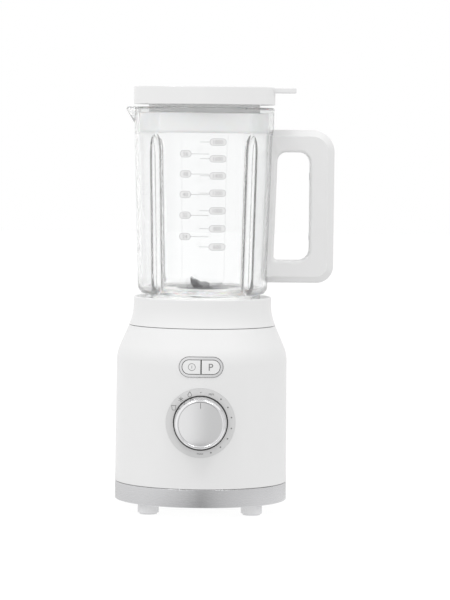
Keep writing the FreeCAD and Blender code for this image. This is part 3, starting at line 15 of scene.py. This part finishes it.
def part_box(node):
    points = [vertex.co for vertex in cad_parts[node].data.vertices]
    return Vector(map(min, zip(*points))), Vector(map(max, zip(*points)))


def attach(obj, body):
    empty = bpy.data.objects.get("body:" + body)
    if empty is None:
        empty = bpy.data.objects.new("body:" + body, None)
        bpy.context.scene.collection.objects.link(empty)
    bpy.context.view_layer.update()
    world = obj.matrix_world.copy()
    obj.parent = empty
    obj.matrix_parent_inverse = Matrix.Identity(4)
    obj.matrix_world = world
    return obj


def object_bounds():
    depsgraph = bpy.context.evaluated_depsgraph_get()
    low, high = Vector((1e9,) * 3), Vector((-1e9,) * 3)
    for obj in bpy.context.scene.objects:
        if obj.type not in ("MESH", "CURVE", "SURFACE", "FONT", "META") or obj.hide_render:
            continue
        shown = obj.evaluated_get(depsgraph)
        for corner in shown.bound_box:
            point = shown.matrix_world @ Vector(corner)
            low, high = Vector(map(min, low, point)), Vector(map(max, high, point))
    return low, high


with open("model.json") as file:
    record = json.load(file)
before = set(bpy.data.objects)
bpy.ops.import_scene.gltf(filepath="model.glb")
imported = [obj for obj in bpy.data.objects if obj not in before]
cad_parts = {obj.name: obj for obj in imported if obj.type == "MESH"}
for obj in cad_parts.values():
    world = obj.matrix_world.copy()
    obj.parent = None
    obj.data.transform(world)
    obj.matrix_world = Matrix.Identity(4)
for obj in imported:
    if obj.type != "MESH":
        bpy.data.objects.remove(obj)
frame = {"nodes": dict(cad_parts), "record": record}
CAD_LOW, CAD_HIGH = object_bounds()
DIAL_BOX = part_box("dial_ring")
MM = 0.001


# ---------------------------------------------------------------- materials
def new_material(name):
    mat = bpy.data.materials.new(name)
    mat.use_nodes = True
    nodes = mat.node_tree.nodes
    shader = next(n for n in nodes if n.type == "BSDF_PRINCIPLED")
    return mat, nodes, mat.node_tree.links, shader


def object_point(nodes, links, stretch=(1, 1, 1)):
    coords = nodes.new("ShaderNodeTexCoord")
    mapping = nodes.new("ShaderNodeMapping")
    mapping.inputs["Scale"].default_value = stretch
    links.new(coords.outputs["Object"], mapping.inputs["Vector"])
    return mapping.outputs["Vector"]


def noise(nodes, links, point, scale, detail=2.0, roughness=0.5):
    tex = nodes.new("ShaderNodeTexNoise")
    tex.inputs["Scale"].default_value = scale
    tex.inputs["Detail"].default_value = detail
    tex.inputs["Roughness"].default_value = roughness
    links.new(point, tex.inputs["Vector"])
    return tex.outputs["Fac"]


def spread(nodes, links, value, low, high):
    """Maps a noise value to a range."""
    remap = nodes.new("ShaderNodeMapRange")
    remap.inputs["From Min"].default_value = 0.3
    remap.inputs["From Max"].default_value = 0.7
    remap.inputs["To Min"].default_value = low
    remap.inputs["To Max"].default_value = high
    links.new(value, remap.inputs["Value"])
    return remap.outputs["Result"]


def two_tone(nodes, links, value, colour, change):
    """A colour that varies a little up and down with a value."""
    mix = nodes.new("ShaderNodeMix")
    mix.data_type = "RGBA"
    mix.inputs["A"].default_value = (*[c * (1 - change) for c in colour], 1)
    mix.inputs["B"].default_value = (*[min(1, c * (1 + change)) for c in colour], 1)
    links.new(value, mix.inputs["Factor"])
    return mix.outputs["Result"]


def add_bump(nodes, links, shader, height, distance):
    bump = nodes.new("ShaderNodeBump")
    bump.inputs["Strength"].default_value = 1.0
    bump.inputs["Distance"].default_value = distance
    links.new(height, bump.inputs["Height"])
    links.new(bump.outputs["Normal"], shader.inputs["Normal"])


def set_sockets(shader, **values):
    for socket, value in values.items():
        shader.inputs[socket.replace("_", " ")].default_value = value


def moulded(name, colour, roughness, change=0.012, grain=2200.0, depth=0.004 * MM, **sockets):
    """Moulded plastic, rubber or paint: a faint cloudiness, uneven gloss and a fine surface grain."""
    mat, nodes, links, shader = new_material(name)
    point = object_point(nodes, links)
    cloud = noise(nodes, links, point, 35.0, 3.0)
    links.new(two_tone(nodes, links, cloud, colour, change), shader.inputs["Base Color"])
    patch = noise(nodes, links, point, 90.0, 2.0)
    links.new(spread(nodes, links, patch, roughness * 0.88, roughness * 1.12), shader.inputs["Roughness"])
    add_bump(nodes, links, shader, noise(nodes, links, point, grain, 2.0), depth)
    set_sockets(shader, **sockets)
    return mat


def brushed(name, colour, roughness, stretch, change=0.05, depth=0.002 * MM, **sockets):
    """Metal with fine marks: stretch squeezes the noise across the marks and draws it out along them."""
    mat, nodes, links, shader = new_material(name)
    point = object_point(nodes, links, stretch)
    marks = noise(nodes, links, point, 1.0, 4.0, 0.6)
    links.new(two_tone(nodes, links, marks, colour, change), shader.inputs["Base Color"])
    links.new(spread(nodes, links, marks, roughness * 0.8, roughness * 1.2), shader.inputs["Roughness"])
    add_bump(nodes, links, shader, marks, depth)
    set_sockets(shader, Metallic=1.0, **sockets)
    return mat


def spun(name, colour, roughness, centre, change=0.04, depth=0.0015 * MM, **sockets):
    """Metal turned about an axis along Y through a centre: rings so fine that they only blur the shine."""
    mat, nodes, links, shader = new_material(name)
    point = object_point(nodes, links)
    offset = nodes.new("ShaderNodeVectorMath")
    offset.operation = "SUBTRACT"
    offset.inputs[1].default_value = centre
    links.new(point, offset.inputs[0])
    flat = nodes.new("ShaderNodeVectorMath")
    flat.operation = "MULTIPLY"
    flat.inputs[1].default_value = (1, 0, 1)
    links.new(offset.outputs["Vector"], flat.inputs[0])
    length = nodes.new("ShaderNodeVectorMath")
    length.operation = "LENGTH"
    links.new(flat.outputs["Vector"], length.inputs[0])
    rings = nodes.new("ShaderNodeTexNoise")
    rings.noise_dimensions = "1D"
    rings.inputs["Scale"].default_value = 3500.0
    rings.inputs["Detail"].default_value = 3.0
    links.new(length.outputs["Value"], rings.inputs["W"])
    value = rings.outputs["Fac"]
    links.new(two_tone(nodes, links, value, colour, change), shader.inputs["Base Color"])
    links.new(spread(nodes, links, value, roughness * 0.85, roughness * 1.15), shader.inputs["Roughness"])
    add_bump(nodes, links, shader, value, depth)
    set_sockets(shader, Metallic=1.0, **sockets)
    return mat


def glass(name, colour, depth=0.02 * MM):
    """Pressed glass: clear, with the faint waviness of a mould."""
    mat, nodes, links, shader = new_material(name)
    point = object_point(nodes, links)
    wave = noise(nodes, links, point, 45.0, 1.0)
    links.new(two_tone(nodes, links, wave, colour, 0.004), shader.inputs["Base Color"])
    add_bump(nodes, links, shader, wave, depth)
    set_sockets(shader, Roughness=0.0, IOR=1.45, Transmission_Weight=1.0, Alpha=0.9)
    return mat


def material_table():
    """One finished material for each material slot of the record."""
    knob_low, knob_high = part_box("knob_face")
    knob_centre = (knob_low + knob_high) / 2
    white = (0.70, 0.70, 0.70)
    dark = (0.02, 0.02, 0.02)
    return {
        "body_white": moulded("satin_white_plastic", white, 0.34, Coat_Weight=0.15, Coat_Roughness=0.12),
        "handle_white": moulded("handle_white_plastic", (0.665, 0.665, 0.665), 0.4),
        "liner_white": moulded(
            "matt_white_plastic", (0.68, 0.68, 0.68), 0.55, grain=1200.0, depth=0.01 * MM,
        ),
        # The lid insert's white is lighter than the body's so that its neck, shaded under the lid's
        # overhang, comes out bright: painted light.
        "insert_white": moulded("lid_inner_plastic_painted_light", (0.80, 0.80, 0.80), 0.35),
        "band_silver": brushed("brushed_band", (0.66, 0.66, 0.67), 0.27, (30, 30, 6000), 0.02, 0.001 * MM),
        "panel_grey": moulded("dial_ring_plastic", (0.59, 0.59, 0.59), 0.42),
        "bezel_grey": moulded("bezel_metallic_paint", (0.66, 0.66, 0.665), 0.3, Metallic=0.5),
        "chrome_trim": moulded(
            "polished_chrome", (0.86, 0.86, 0.87), 0.09, 0.004, 400.0, 0.0008 * MM, Metallic=1.0,
        ),
        "knob_metal": spun("spun_aluminium", (0.78, 0.78, 0.785), 0.16, knob_centre),
        "clear_glass": glass("pressed_glass", (0.975, 0.98, 0.98)),
        "silicone": moulded(
            "white_silicone", (0.80, 0.80, 0.80), 0.5, Subsurface_Weight=0.1, Subsurface_Scale=2 * MM,
        ),
        "foot_rubber": moulded("grey_rubber", (0.67, 0.67, 0.68), 0.7, grain=900.0, depth=0.02 * MM),
        "steel": brushed("blade_steel", (0.30, 0.30, 0.31), 0.25, (2500, 2500, 60)),
        "zinc_screws": brushed("zinc_plate", (0.55, 0.56, 0.58), 0.35, (900, 900, 900)),
        "inner_plastic": moulded(
            "inner_white_plastic", (0.82, 0.82, 0.81), 0.5, grain=1100.0, depth=0.012 * MM,
        ),
        "black_plastic": moulded("black_plastic", dark, 0.5, 0.1, 1200.0, 0.012 * MM),
        "drive_plastic": moulded(
            "drive_coupling_plastic", (0.03, 0.03, 0.033), 0.45, 0.1, 900.0, 0.015 * MM,
        ),
        "black_rubber": moulded("black_rubber", (0.015, 0.015, 0.015), 0.8, 0.1, 700.0, 0.02 * MM),
        "board_green": moulded("board_laminate", (0.02, 0.14, 0.06), 0.4, 0.08, 500.0, 0.01 * MM),
        "component_grey": moulded("component_bodies", (0.06, 0.07, 0.09), 0.45, 0.1),
        "shaft_steel": brushed("ground_steel", (0.55, 0.55, 0.56), 0.25, (60, 60, 3000)),
        "bracket_metal": moulded(
            "cast_aluminium", (0.55, 0.55, 0.56), 0.45, 0.06, 800.0, 0.03 * MM, Metallic=1.0,
        ),
        "laminations": brushed(
            "steel_laminations", (0.32, 0.32, 0.34), 0.4, (30, 30, 4000), 0.15, 0.02 * MM,
        ),
        "copper": brushed("enamelled_copper", (0.72, 0.32, 0.16), 0.3, (400, 400, 2500), 0.12, 0.02 * MM),
        "carbon": moulded("graphite", (0.02, 0.02, 0.022), 0.5, 0.1, 1500.0, 0.01 * MM),
        "spring_steel": brushed("spring_wire", (0.40, 0.40, 0.42), 0.3, (900, 900, 900)),
        "bronze": moulded(
            "sintered_bronze", (0.55, 0.36, 0.16), 0.45, 0.08, 1800.0, 0.01 * MM, Metallic=1.0,
        ),
        "magnet": moulded("nickel_plate", (0.50, 0.50, 0.48), 0.2, 0.02, 900.0, 0.002 * MM, Metallic=1.0),
        "print_pill": moulded("pill_ink", (0.72, 0.72, 0.72), 0.5),
        "print_tick": moulded("tick_ink", (0.42, 0.42, 0.42), 0.5),
        "print_grey": moulded("grey_ink", (0.16, 0.16, 0.16), 0.5),
        "print_dark": moulded("dark_ink", (0.10, 0.10, 0.10), 0.5),
    }


MATERIALS = material_table()
SLOT_OF = {part["node"]: part["material_slot"] for part in frame["record"]["subparts"]}


def dress_cad_nodes():
    for name, obj in frame["nodes"].items():
        obj.data.materials.clear()
        obj.data.materials.append(MATERIALS[SLOT_OF[name]])


# ---------------------------------------------------------------- printed marks
def flat_piece(name, outlines):
    """A mesh of filled XZ outlines, each a list of (x, z) points in metres."""
    bm = bmesh.new()
    for outline in outlines:
        bm.faces.new([bm.verts.new((x, 0, z)) for x, z in outline])
    mesh = bpy.data.meshes.new(name)
    bm.to_mesh(mesh)
    bm.free()
    return mesh


def text_mesh(name, text, height, centre):
    """Filled lettering in the XZ plane, centred on a point."""
    curve = bpy.data.curves.new(name, "FONT")
    curve.body = text
    curve.size = height * 1.38
    curve.align_x = "CENTER"
    curve.align_y = "CENTER"
    curve.resolution_u = 4
    holder = bpy.data.objects.new(name, curve)
    bpy.context.scene.collection.objects.link(holder)
    bpy.context.view_layer.update()
    mesh = bpy.data.meshes.new_from_object(holder.evaluated_get(bpy.context.evaluated_depsgraph_get()))
    bpy.data.objects.remove(holder)
    xs = [v.co.x for v in mesh.vertices]
    ys = [v.co.y for v in mesh.vertices]
    middle_x = (min(xs) + max(xs)) / 2
    middle_y = (min(ys) + max(ys)) / 2
    for v in mesh.vertices:
        v.co = Vector((v.co.x - middle_x + centre[0], 0, v.co.y - middle_y + centre[1]))
    return mesh


def surface_of(node):
    obj = frame["nodes"][node]
    bm = bmesh.new()
    bm.from_mesh(obj.data)
    tree = BVHTree.FromBMesh(bm)
    bm.free()
    return tree


SURFACES = {}


def printed(name, meshes, node, body, ink, lift=0.06 * MM, thickness=0.05 * MM, cell=1.5 * MM):
    """Ink on the front of a CAD node: flat shapes cut into small cells and laid on its surface."""
    if node not in SURFACES:
        SURFACES[node] = surface_of(node)
    tree = SURFACES[node]
    bm = bmesh.new()
    for mesh in meshes:
        bm.from_mesh(mesh)
    xs = [v.co.x for v in bm.verts]
    steps = int((max(xs) - min(xs)) / cell)
    for i in range(1, steps + 1):
        cut_x = min(xs) + i * cell
        geometry = bm.verts[:] + bm.edges[:] + bm.faces[:]
        bmesh.ops.bisect_plane(bm, geom=geometry, plane_co=(cut_x, 0, 0), plane_no=(1, 0, 0))
    for vert in bm.verts:
        hit = tree.ray_cast(Vector((vert.co.x, -1.0, vert.co.z)), Vector((0, 1, 0)))
        vert.co.y = hit[0].y - lift + thickness
    bmesh.ops.remove_doubles(bm, verts=bm.verts, dist=1e-7)
    front = bmesh.ops.extrude_face_region(bm, geom=bm.faces[:])
    for item in front["geom"]:
        if isinstance(item, bmesh.types.BMVert):
            item.co.y -= thickness
    bmesh.ops.recalc_face_normals(bm, faces=bm.faces)
    mesh = bpy.data.meshes.new(name)
    bm.to_mesh(mesh)
    bm.free()
    piece = bpy.data.objects.new(name, mesh)
    bpy.context.scene.collection.objects.link(piece)
    mesh.materials.append(MATERIALS[ink])
    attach(piece, body)


def pill_outline(cx, cz, width, height, steps=8):
    radius = height / 2
    points = []
    for side in (1, -1):
        for i in range(steps + 1):
            turn = math.radians(90 - 180 * i / steps)
            dx = side * (width / 2 - radius + radius * math.cos(turn))
            dz = side * radius * math.sin(turn)
            points.append((cx + dx, cz + dz))
    return points


def bar_outline(x_low, x_high, cz, thickness):
    half = thickness / 2
    return [(x_low, cz - half), (x_high, cz - half), (x_high, cz + half), (x_low, cz + half)]


def disc_outline(cx, cz, radius, steps=16):
    turns = [2 * math.pi * i / steps for i in range(steps)]
    return [(cx + radius * math.cos(turn), cz + radius * math.sin(turn)) for turn in turns]


def stroke(points, width):
    """The four-sided outlines of a line of even width through a row of (x, z) points."""
    sides = []
    for i, (x, z) in enumerate(points):
        before = points[max(i - 1, 0)]
        after = points[min(i + 1, len(points) - 1)]
        along = Vector((after[0] - before[0], after[1] - before[1])).normalized() * width / 2
        sides.append(((x - along.y, z + along.x), (x + along.y, z - along.x)))
    return [[a[0], b[0], b[1], a[1]] for a, b in zip(sides, sides[1:])]


def arc_points(cx, cz, radius, start, end, steps=20):
    """Points along an arc: the angles are in degrees, clockwise from straight up."""
    turns = [math.radians(start + (end - start) * i / steps) for i in range(steps + 1)]
    return [(cx + radius * math.sin(turn), cz + radius * math.cos(turn)) for turn in turns]


LOWEST_ML = 600
LOWEST_DROP = 136.4 * MM    # from the jug's rim down to the lowest mark
GLASS_T = 5.0 * MM          # the jug's wall, ribs included
GLASS_SLOPE = 0.03          # how much the jug's radius shrinks for each unit down
RIB_AREA = 5e-4             # square metres of each level that the ribs take
ML_PER_OZ = 29.57


def level_of(volume_ml):
    """The height of a filling in the jug, counted up from the lowest mark in thin slices."""
    low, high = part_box("glass_jug")
    rim_z, rim_radius = high.z, high.y
    z = rim_z - LOWEST_DROP
    filled = LOWEST_ML
    step = 0.1 * MM
    while filled < volume_ml:
        radius = rim_radius - GLASS_SLOPE * (rim_z - z) - GLASS_T
        filled += (math.pi * radius ** 2 - RIB_AREA) * step * 1e6
        z += step
    return z


def measuring_scale():
    """Two columns of pills with numbers and lines: millilitres on the right, fluid ounces on the left."""
    pill_h = 6.1 * MM
    outline = 0.8 * MM
    tick_t = 0.45 * MM
    rows = [(ml, level_of(ml), 14.1 * MM, 15.6 * MM) for ml in range(LOWEST_ML, 1801, 200)]
    rows += [(oz, level_of(oz * ML_PER_OZ), -17.4 * MM, 10.4 * MM) for oz in range(24, 57, 8)]
    rims, pills, numbers, ticks = [], [], [], []
    for value, z, x, width in rows:
        pills.append(flat_piece("pill", [pill_outline(x, z, width, pill_h)]))
        rims.append(flat_piece("rim", [pill_outline(x, z, width + outline, pill_h + outline)]))
        numbers.append(text_mesh("number", str(value), pill_h * 0.62, (x, z)))
        if x > 0:
            ticks.append(bar_outline(-3.4 * MM, x - width / 2, z, tick_t))
        else:
            ticks.append(bar_outline(x + width / 2, 5.4 * MM, z, tick_t))
    printed("scale_rims", rims, "glass_jug", "jug", "print_tick")
    printed("scale_pills", pills, "glass_jug", "jug", "print_pill", lift=0.12 * MM)
    printed("scale_numbers", numbers, "glass_jug", "jug", "print_tick", lift=0.18 * MM)
    printed("scale_ticks", [flat_piece("ticks", ticks)], "glass_jug", "jug", "print_tick")


def around_dial(degrees, radius):
    """A place on the dial's ring: the angle runs clockwise from straight up."""
    low, high = DIAL_BOX
    turn = math.radians(degrees)
    return (low.x + high.x) / 2 + radius * math.sin(turn), (low.z + high.z) / 2 + radius * math.cos(turn)


def programme_sign(kind, x, z):
    """One of the small signs for the three programmes: a cup, a crystal or a drop."""
    line = 0.5 * MM
    size = 2.6 * MM
    if kind == "cup":
        rim = [(x - size, z + 0.8 * size), (x + size, z + 0.8 * size)]
        left, right = (x - 0.8 * size, x - 0.55 * size), (x + 0.8 * size, x + 0.55 * size)
        top, foot = z + 0.8 * size, z - 0.9 * size
        side = [(left[0], top), (left[1], foot), (right[1], foot), (right[0], top)]
        return stroke(rim, line) + stroke(side, line)
    if kind == "crystal":
        arms = []
        for angle in (0, 60, 120):
            dx, dz = size * math.sin(math.radians(angle)), size * math.cos(math.radians(angle))
            arms += stroke([(x - dx, z - dz), (x + dx, z + dz)], line)
        return arms
    tip = (x, z + size)
    drop = [tip] + arc_points(x, z - 0.25 * size, 0.7 * size, 60, 300, 12) + [tip]
    return stroke(drop, line)


def dial_marks():
    """The dial's ring: three programmes left of the off mark, and dots from MIN to MAX on its right."""
    ring_r = 30.0 * MM
    x, z = around_dial(0, ring_r)
    outlines = [bar_outline(x - 0.7 * MM, x + 0.7 * MM, z, 0.5 * MM)]
    for degrees, kind in ((-21, "drop"), (-40, "crystal"), (-61, "cup")):
        outlines += programme_sign(kind, *around_dial(degrees, ring_r))
    for step in range(7):
        outlines.append(disc_outline(*around_dial(40 + 20 * step, ring_r + 0.6 * MM), 0.75 * MM))
    words = []
    for word, degrees in (("MIN", 20), ("MAX", 180)):
        words.append(text_mesh("word", word, 2.1 * MM, around_dial(degrees, ring_r)))
    printed("dial_marks", [flat_piece("marks", outlines)], "dial_ring", "base", "print_grey")
    printed("dial_words", words, "dial_ring", "base", "print_grey")


def button_signs():
    """The power sign on the left button and a P on the right one."""
    x = -9.0 * MM
    low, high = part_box("power_button")
    middle_z = (low.z + high.z) / 2
    circle = stroke(arc_points(x, middle_z, 3.4 * MM, 0, 360, 28), 0.45 * MM)
    bar = stroke([(x, middle_z - 1.5 * MM), (x, middle_z + 1.5 * MM)], 0.45 * MM)
    power_sign = flat_piece("power_sign", circle + bar)
    printed("power_button_sign", [power_sign], "power_button", "power_button", "print_grey")

    low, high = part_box("pulse_button")
    letter = text_mesh("letter", "P", 7.2 * MM, (9.6 * MM, (low.z + high.z) / 2))
    printed("pulse_button_sign", [letter], "pulse_button", "pulse_button", "print_grey")


def knob_pointer():
    x, z = around_dial(0, 18.0 * MM)
    mark = stroke([(x, z - 2.7 * MM), (x, z + 2.7 * MM)], 0.5 * MM)
    printed("knob_pointer", [flat_piece("pointer", mark)], "knob_face", "knob", "print_dark")


# ---------------------------------------------------------------- stage, lights, camera
def stage_plane(name, centre, across, up, mat):
    mesh = bpy.data.meshes.new(name)
    c, a, u = Vector(centre), Vector(across), Vector(up)
    mesh.from_pydata([c - a - u, c + a - u, c + a + u, c - a + u], [], [(0, 1, 2, 3)])
    obj = bpy.data.objects.new(name, mesh)
    bpy.context.scene.collection.objects.link(obj)
    mesh.materials.append(mat)


def floor_material():
    mat, nodes, links, shader = new_material("pale_floor")
    point = object_point(nodes, links)
    tone = two_tone(nodes, links, noise(nodes, links, point, 3.0), (0.10, 0.10, 0.10), 0.004)
    links.new(tone, shader.inputs["Base Color"])
    set_sockets(shader, Roughness=0.9, Specular_IOR_Level=0.1)
    set_sockets(shader, Emission_Color=(1, 1, 1, 1), Emission_Strength=0.90)
    return mat


# How bright the studio looks in shiny pieces, by the angle about the blender's axis (0 is straight ahead
# of its front). The near glow is for the silver band, the far one for the knob.
NEAR_GLOW = (
    (-180, 0.45), (-150, 0.72), (-110, 0.86), (-68, 0.87), (-48, 0.81), (-33, 0.70), (-20, 0.57),
    (-9, 0.42), (0, 0.24), (9, 0.48), (20, 0.66), (33, 0.77), (48, 0.85), (68, 0.94), (110, 0.94),
    (150, 0.72), (180, 0.45),
)
FAR_GLOW = ((-180, 1.0), (-90, 1.0), (-7.5, 0.98), (4, 0.70), (90, 0.72), (180, 1.0))


def glow_material(name, stops_by_angle):
    """A glow that changes round the blender: the stops are (degrees, brightness), from -180 to 180."""
    mat, nodes, links, shader = new_material(name)
    coords = nodes.new("ShaderNodeTexCoord")
    parts = nodes.new("ShaderNodeSeparateXYZ")
    links.new(coords.outputs["Object"], parts.inputs["Vector"])
    ahead = nodes.new("ShaderNodeMath")
    ahead.operation = "MULTIPLY"
    ahead.inputs[1].default_value = -1.0
    links.new(parts.outputs["Y"], ahead.inputs[0])
    turn = nodes.new("ShaderNodeMath")
    turn.operation = "ARCTAN2"
    links.new(parts.outputs["X"], turn.inputs[0])
    links.new(ahead.outputs["Value"], turn.inputs[1])
    remap = nodes.new("ShaderNodeMapRange")
    remap.inputs["From Min"].default_value = -math.pi
    remap.inputs["From Max"].default_value = math.pi
    links.new(turn.outputs["Value"], remap.inputs["Value"])
    ramp = nodes.new("ShaderNodeValToRGB")
    stops = ramp.color_ramp.elements
    stops.remove(stops[1])
    for number, (degrees, glow) in enumerate(stops_by_angle):
        stop = stops[0] if number == 0 else stops.new(0.5 + degrees / 360)
        stop.color = (glow, glow, glow, 1)
    links.new(remap.outputs["Result"], ramp.inputs["Fac"])
    links.new(ramp.outputs["Color"], shader.inputs["Emission Color"])
    set_sockets(shader, Base_Color=(0, 0, 0, 1), Roughness=1.0, Specular_IOR_Level=0.0)
    set_sockets(shader, Emission_Strength=1.0)
    return mat


def hide_from(obj, *kinds):
    for kind in kinds:
        setattr(obj, "visible_" + kind, False)


def add_screen(name, rims, stops_by_angle, steps=96):
    """A round screen about the blender, through rims of (radius, height). Only reflections see it."""
    bm = bmesh.new()
    rows = []
    for radius, level in rims:
        turns = [2 * math.pi * i / steps for i in range(steps + 1)]
        rows.append([bm.verts.new((radius * math.sin(t), -radius * math.cos(t), level)) for t in turns])
    for row, next_row in zip(rows, rows[1:]):
        for i in range(steps):
            bm.faces.new((row[i], row[i + 1], next_row[i + 1], next_row[i]))
    mesh = bpy.data.meshes.new(name)
    bm.to_mesh(mesh)
    bm.free()
    screen = bpy.data.objects.new(name, mesh)
    bpy.context.scene.collection.objects.link(screen)
    mesh.materials.append(glow_material(name + "_glow", stops_by_angle))
    hide_from(screen, "camera", "diffuse", "shadow", "transmission")


def add_stage():
    stage_plane("floor", (0, 0, -0.0002), (8, 0, 0), (0, 8, 0), floor_material())
    low = -0.1 * MM
    near_edge, border, far_edge, top = 0.10, 0.32, 4.5, 3.0
    add_screen("near_screen", ((near_edge, low), (border, low)), NEAR_GLOW)
    add_screen("far_screen", ((border, low), (far_edge, low), (far_edge, top)), FAR_GLOW)


def area_light(name, place, target, size, power):
    data = bpy.data.lights.new(name, "AREA")
    data.shape = "RECTANGLE"
    data.size, data.size_y = size
    data.energy = power
    obj = bpy.data.objects.new(name, data)
    bpy.context.scene.collection.objects.link(obj)
    obj.location = place
    direction = Vector(target) - Vector(place)
    obj.rotation_mode = "QUATERNION"
    obj.rotation_quaternion = direction.to_track_quat("-Z", "Y")


def add_lights():
    world = bpy.data.worlds.new("studio")
    world.use_nodes = True
    background = next(n for n in world.node_tree.nodes if n.type == "BACKGROUND")
    background.inputs["Color"].default_value = (1, 1, 1, 1)
    background.inputs["Strength"].default_value = 1.0
    bpy.context.scene.world = world
    area_light("left_softbox", (-1.2, -0.8, 2.8), (0, 0, 0.25), (0.9, 0.9), 21.0)
    area_light("right_softbox", (1.1, -0.9, 2.8), (0, 0, 0.25), (0.9, 0.9), 17.0)


CAMERA_DISTANCE = 3.0
CAMERA_RISE = 0.17          # how far the camera looks down over its distance
FRAME_HEIGHT = 36.0         # the sensor's long side
LENS = 180.25
ROLL = 0.65                 # degrees
AIM_RIGHT = 0.4 * MM        # the camera's aim, from the middle of the box
AIM_DOWN = 1.7 * MM


def add_camera():
    data = bpy.data.cameras.new("camera")
    data.sensor_fit = "VERTICAL"
    data.sensor_height = FRAME_HEIGHT
    data.sensor_width = FRAME_HEIGHT
    data.lens = LENS
    cam = bpy.data.objects.new("camera", data)
    bpy.context.scene.collection.objects.link(cam)
    aim = Vector(((CAD_LOW.x + CAD_HIGH.x) / 2 + AIM_RIGHT, 0, CAD_HIGH.z / 2 - AIM_DOWN))
    pitch = math.atan(CAMERA_RISE / CAMERA_DISTANCE)
    back = Vector((0, -math.cos(pitch), math.sin(pitch)))
    cam.location = aim + back * CAMERA_DISTANCE
    turn = (-back).to_track_quat("-Z", "Y").to_matrix() @ Matrix.Rotation(math.radians(ROLL), 3, "Z")
    cam.rotation_mode = "QUATERNION"
    cam.rotation_quaternion = turn.to_quaternion()
    data.clip_start, data.clip_end = 0.05, 60.0
    bpy.context.scene.camera = cam
    bpy.context.scene.view_settings.view_transform = "Standard"


add_camera()
add_lights()
add_stage()
dress_cad_nodes()
measuring_scale()
dial_marks()
button_signs()
knob_pointer()
hide_from(frame["nodes"]["glass_jug"], "shadow")
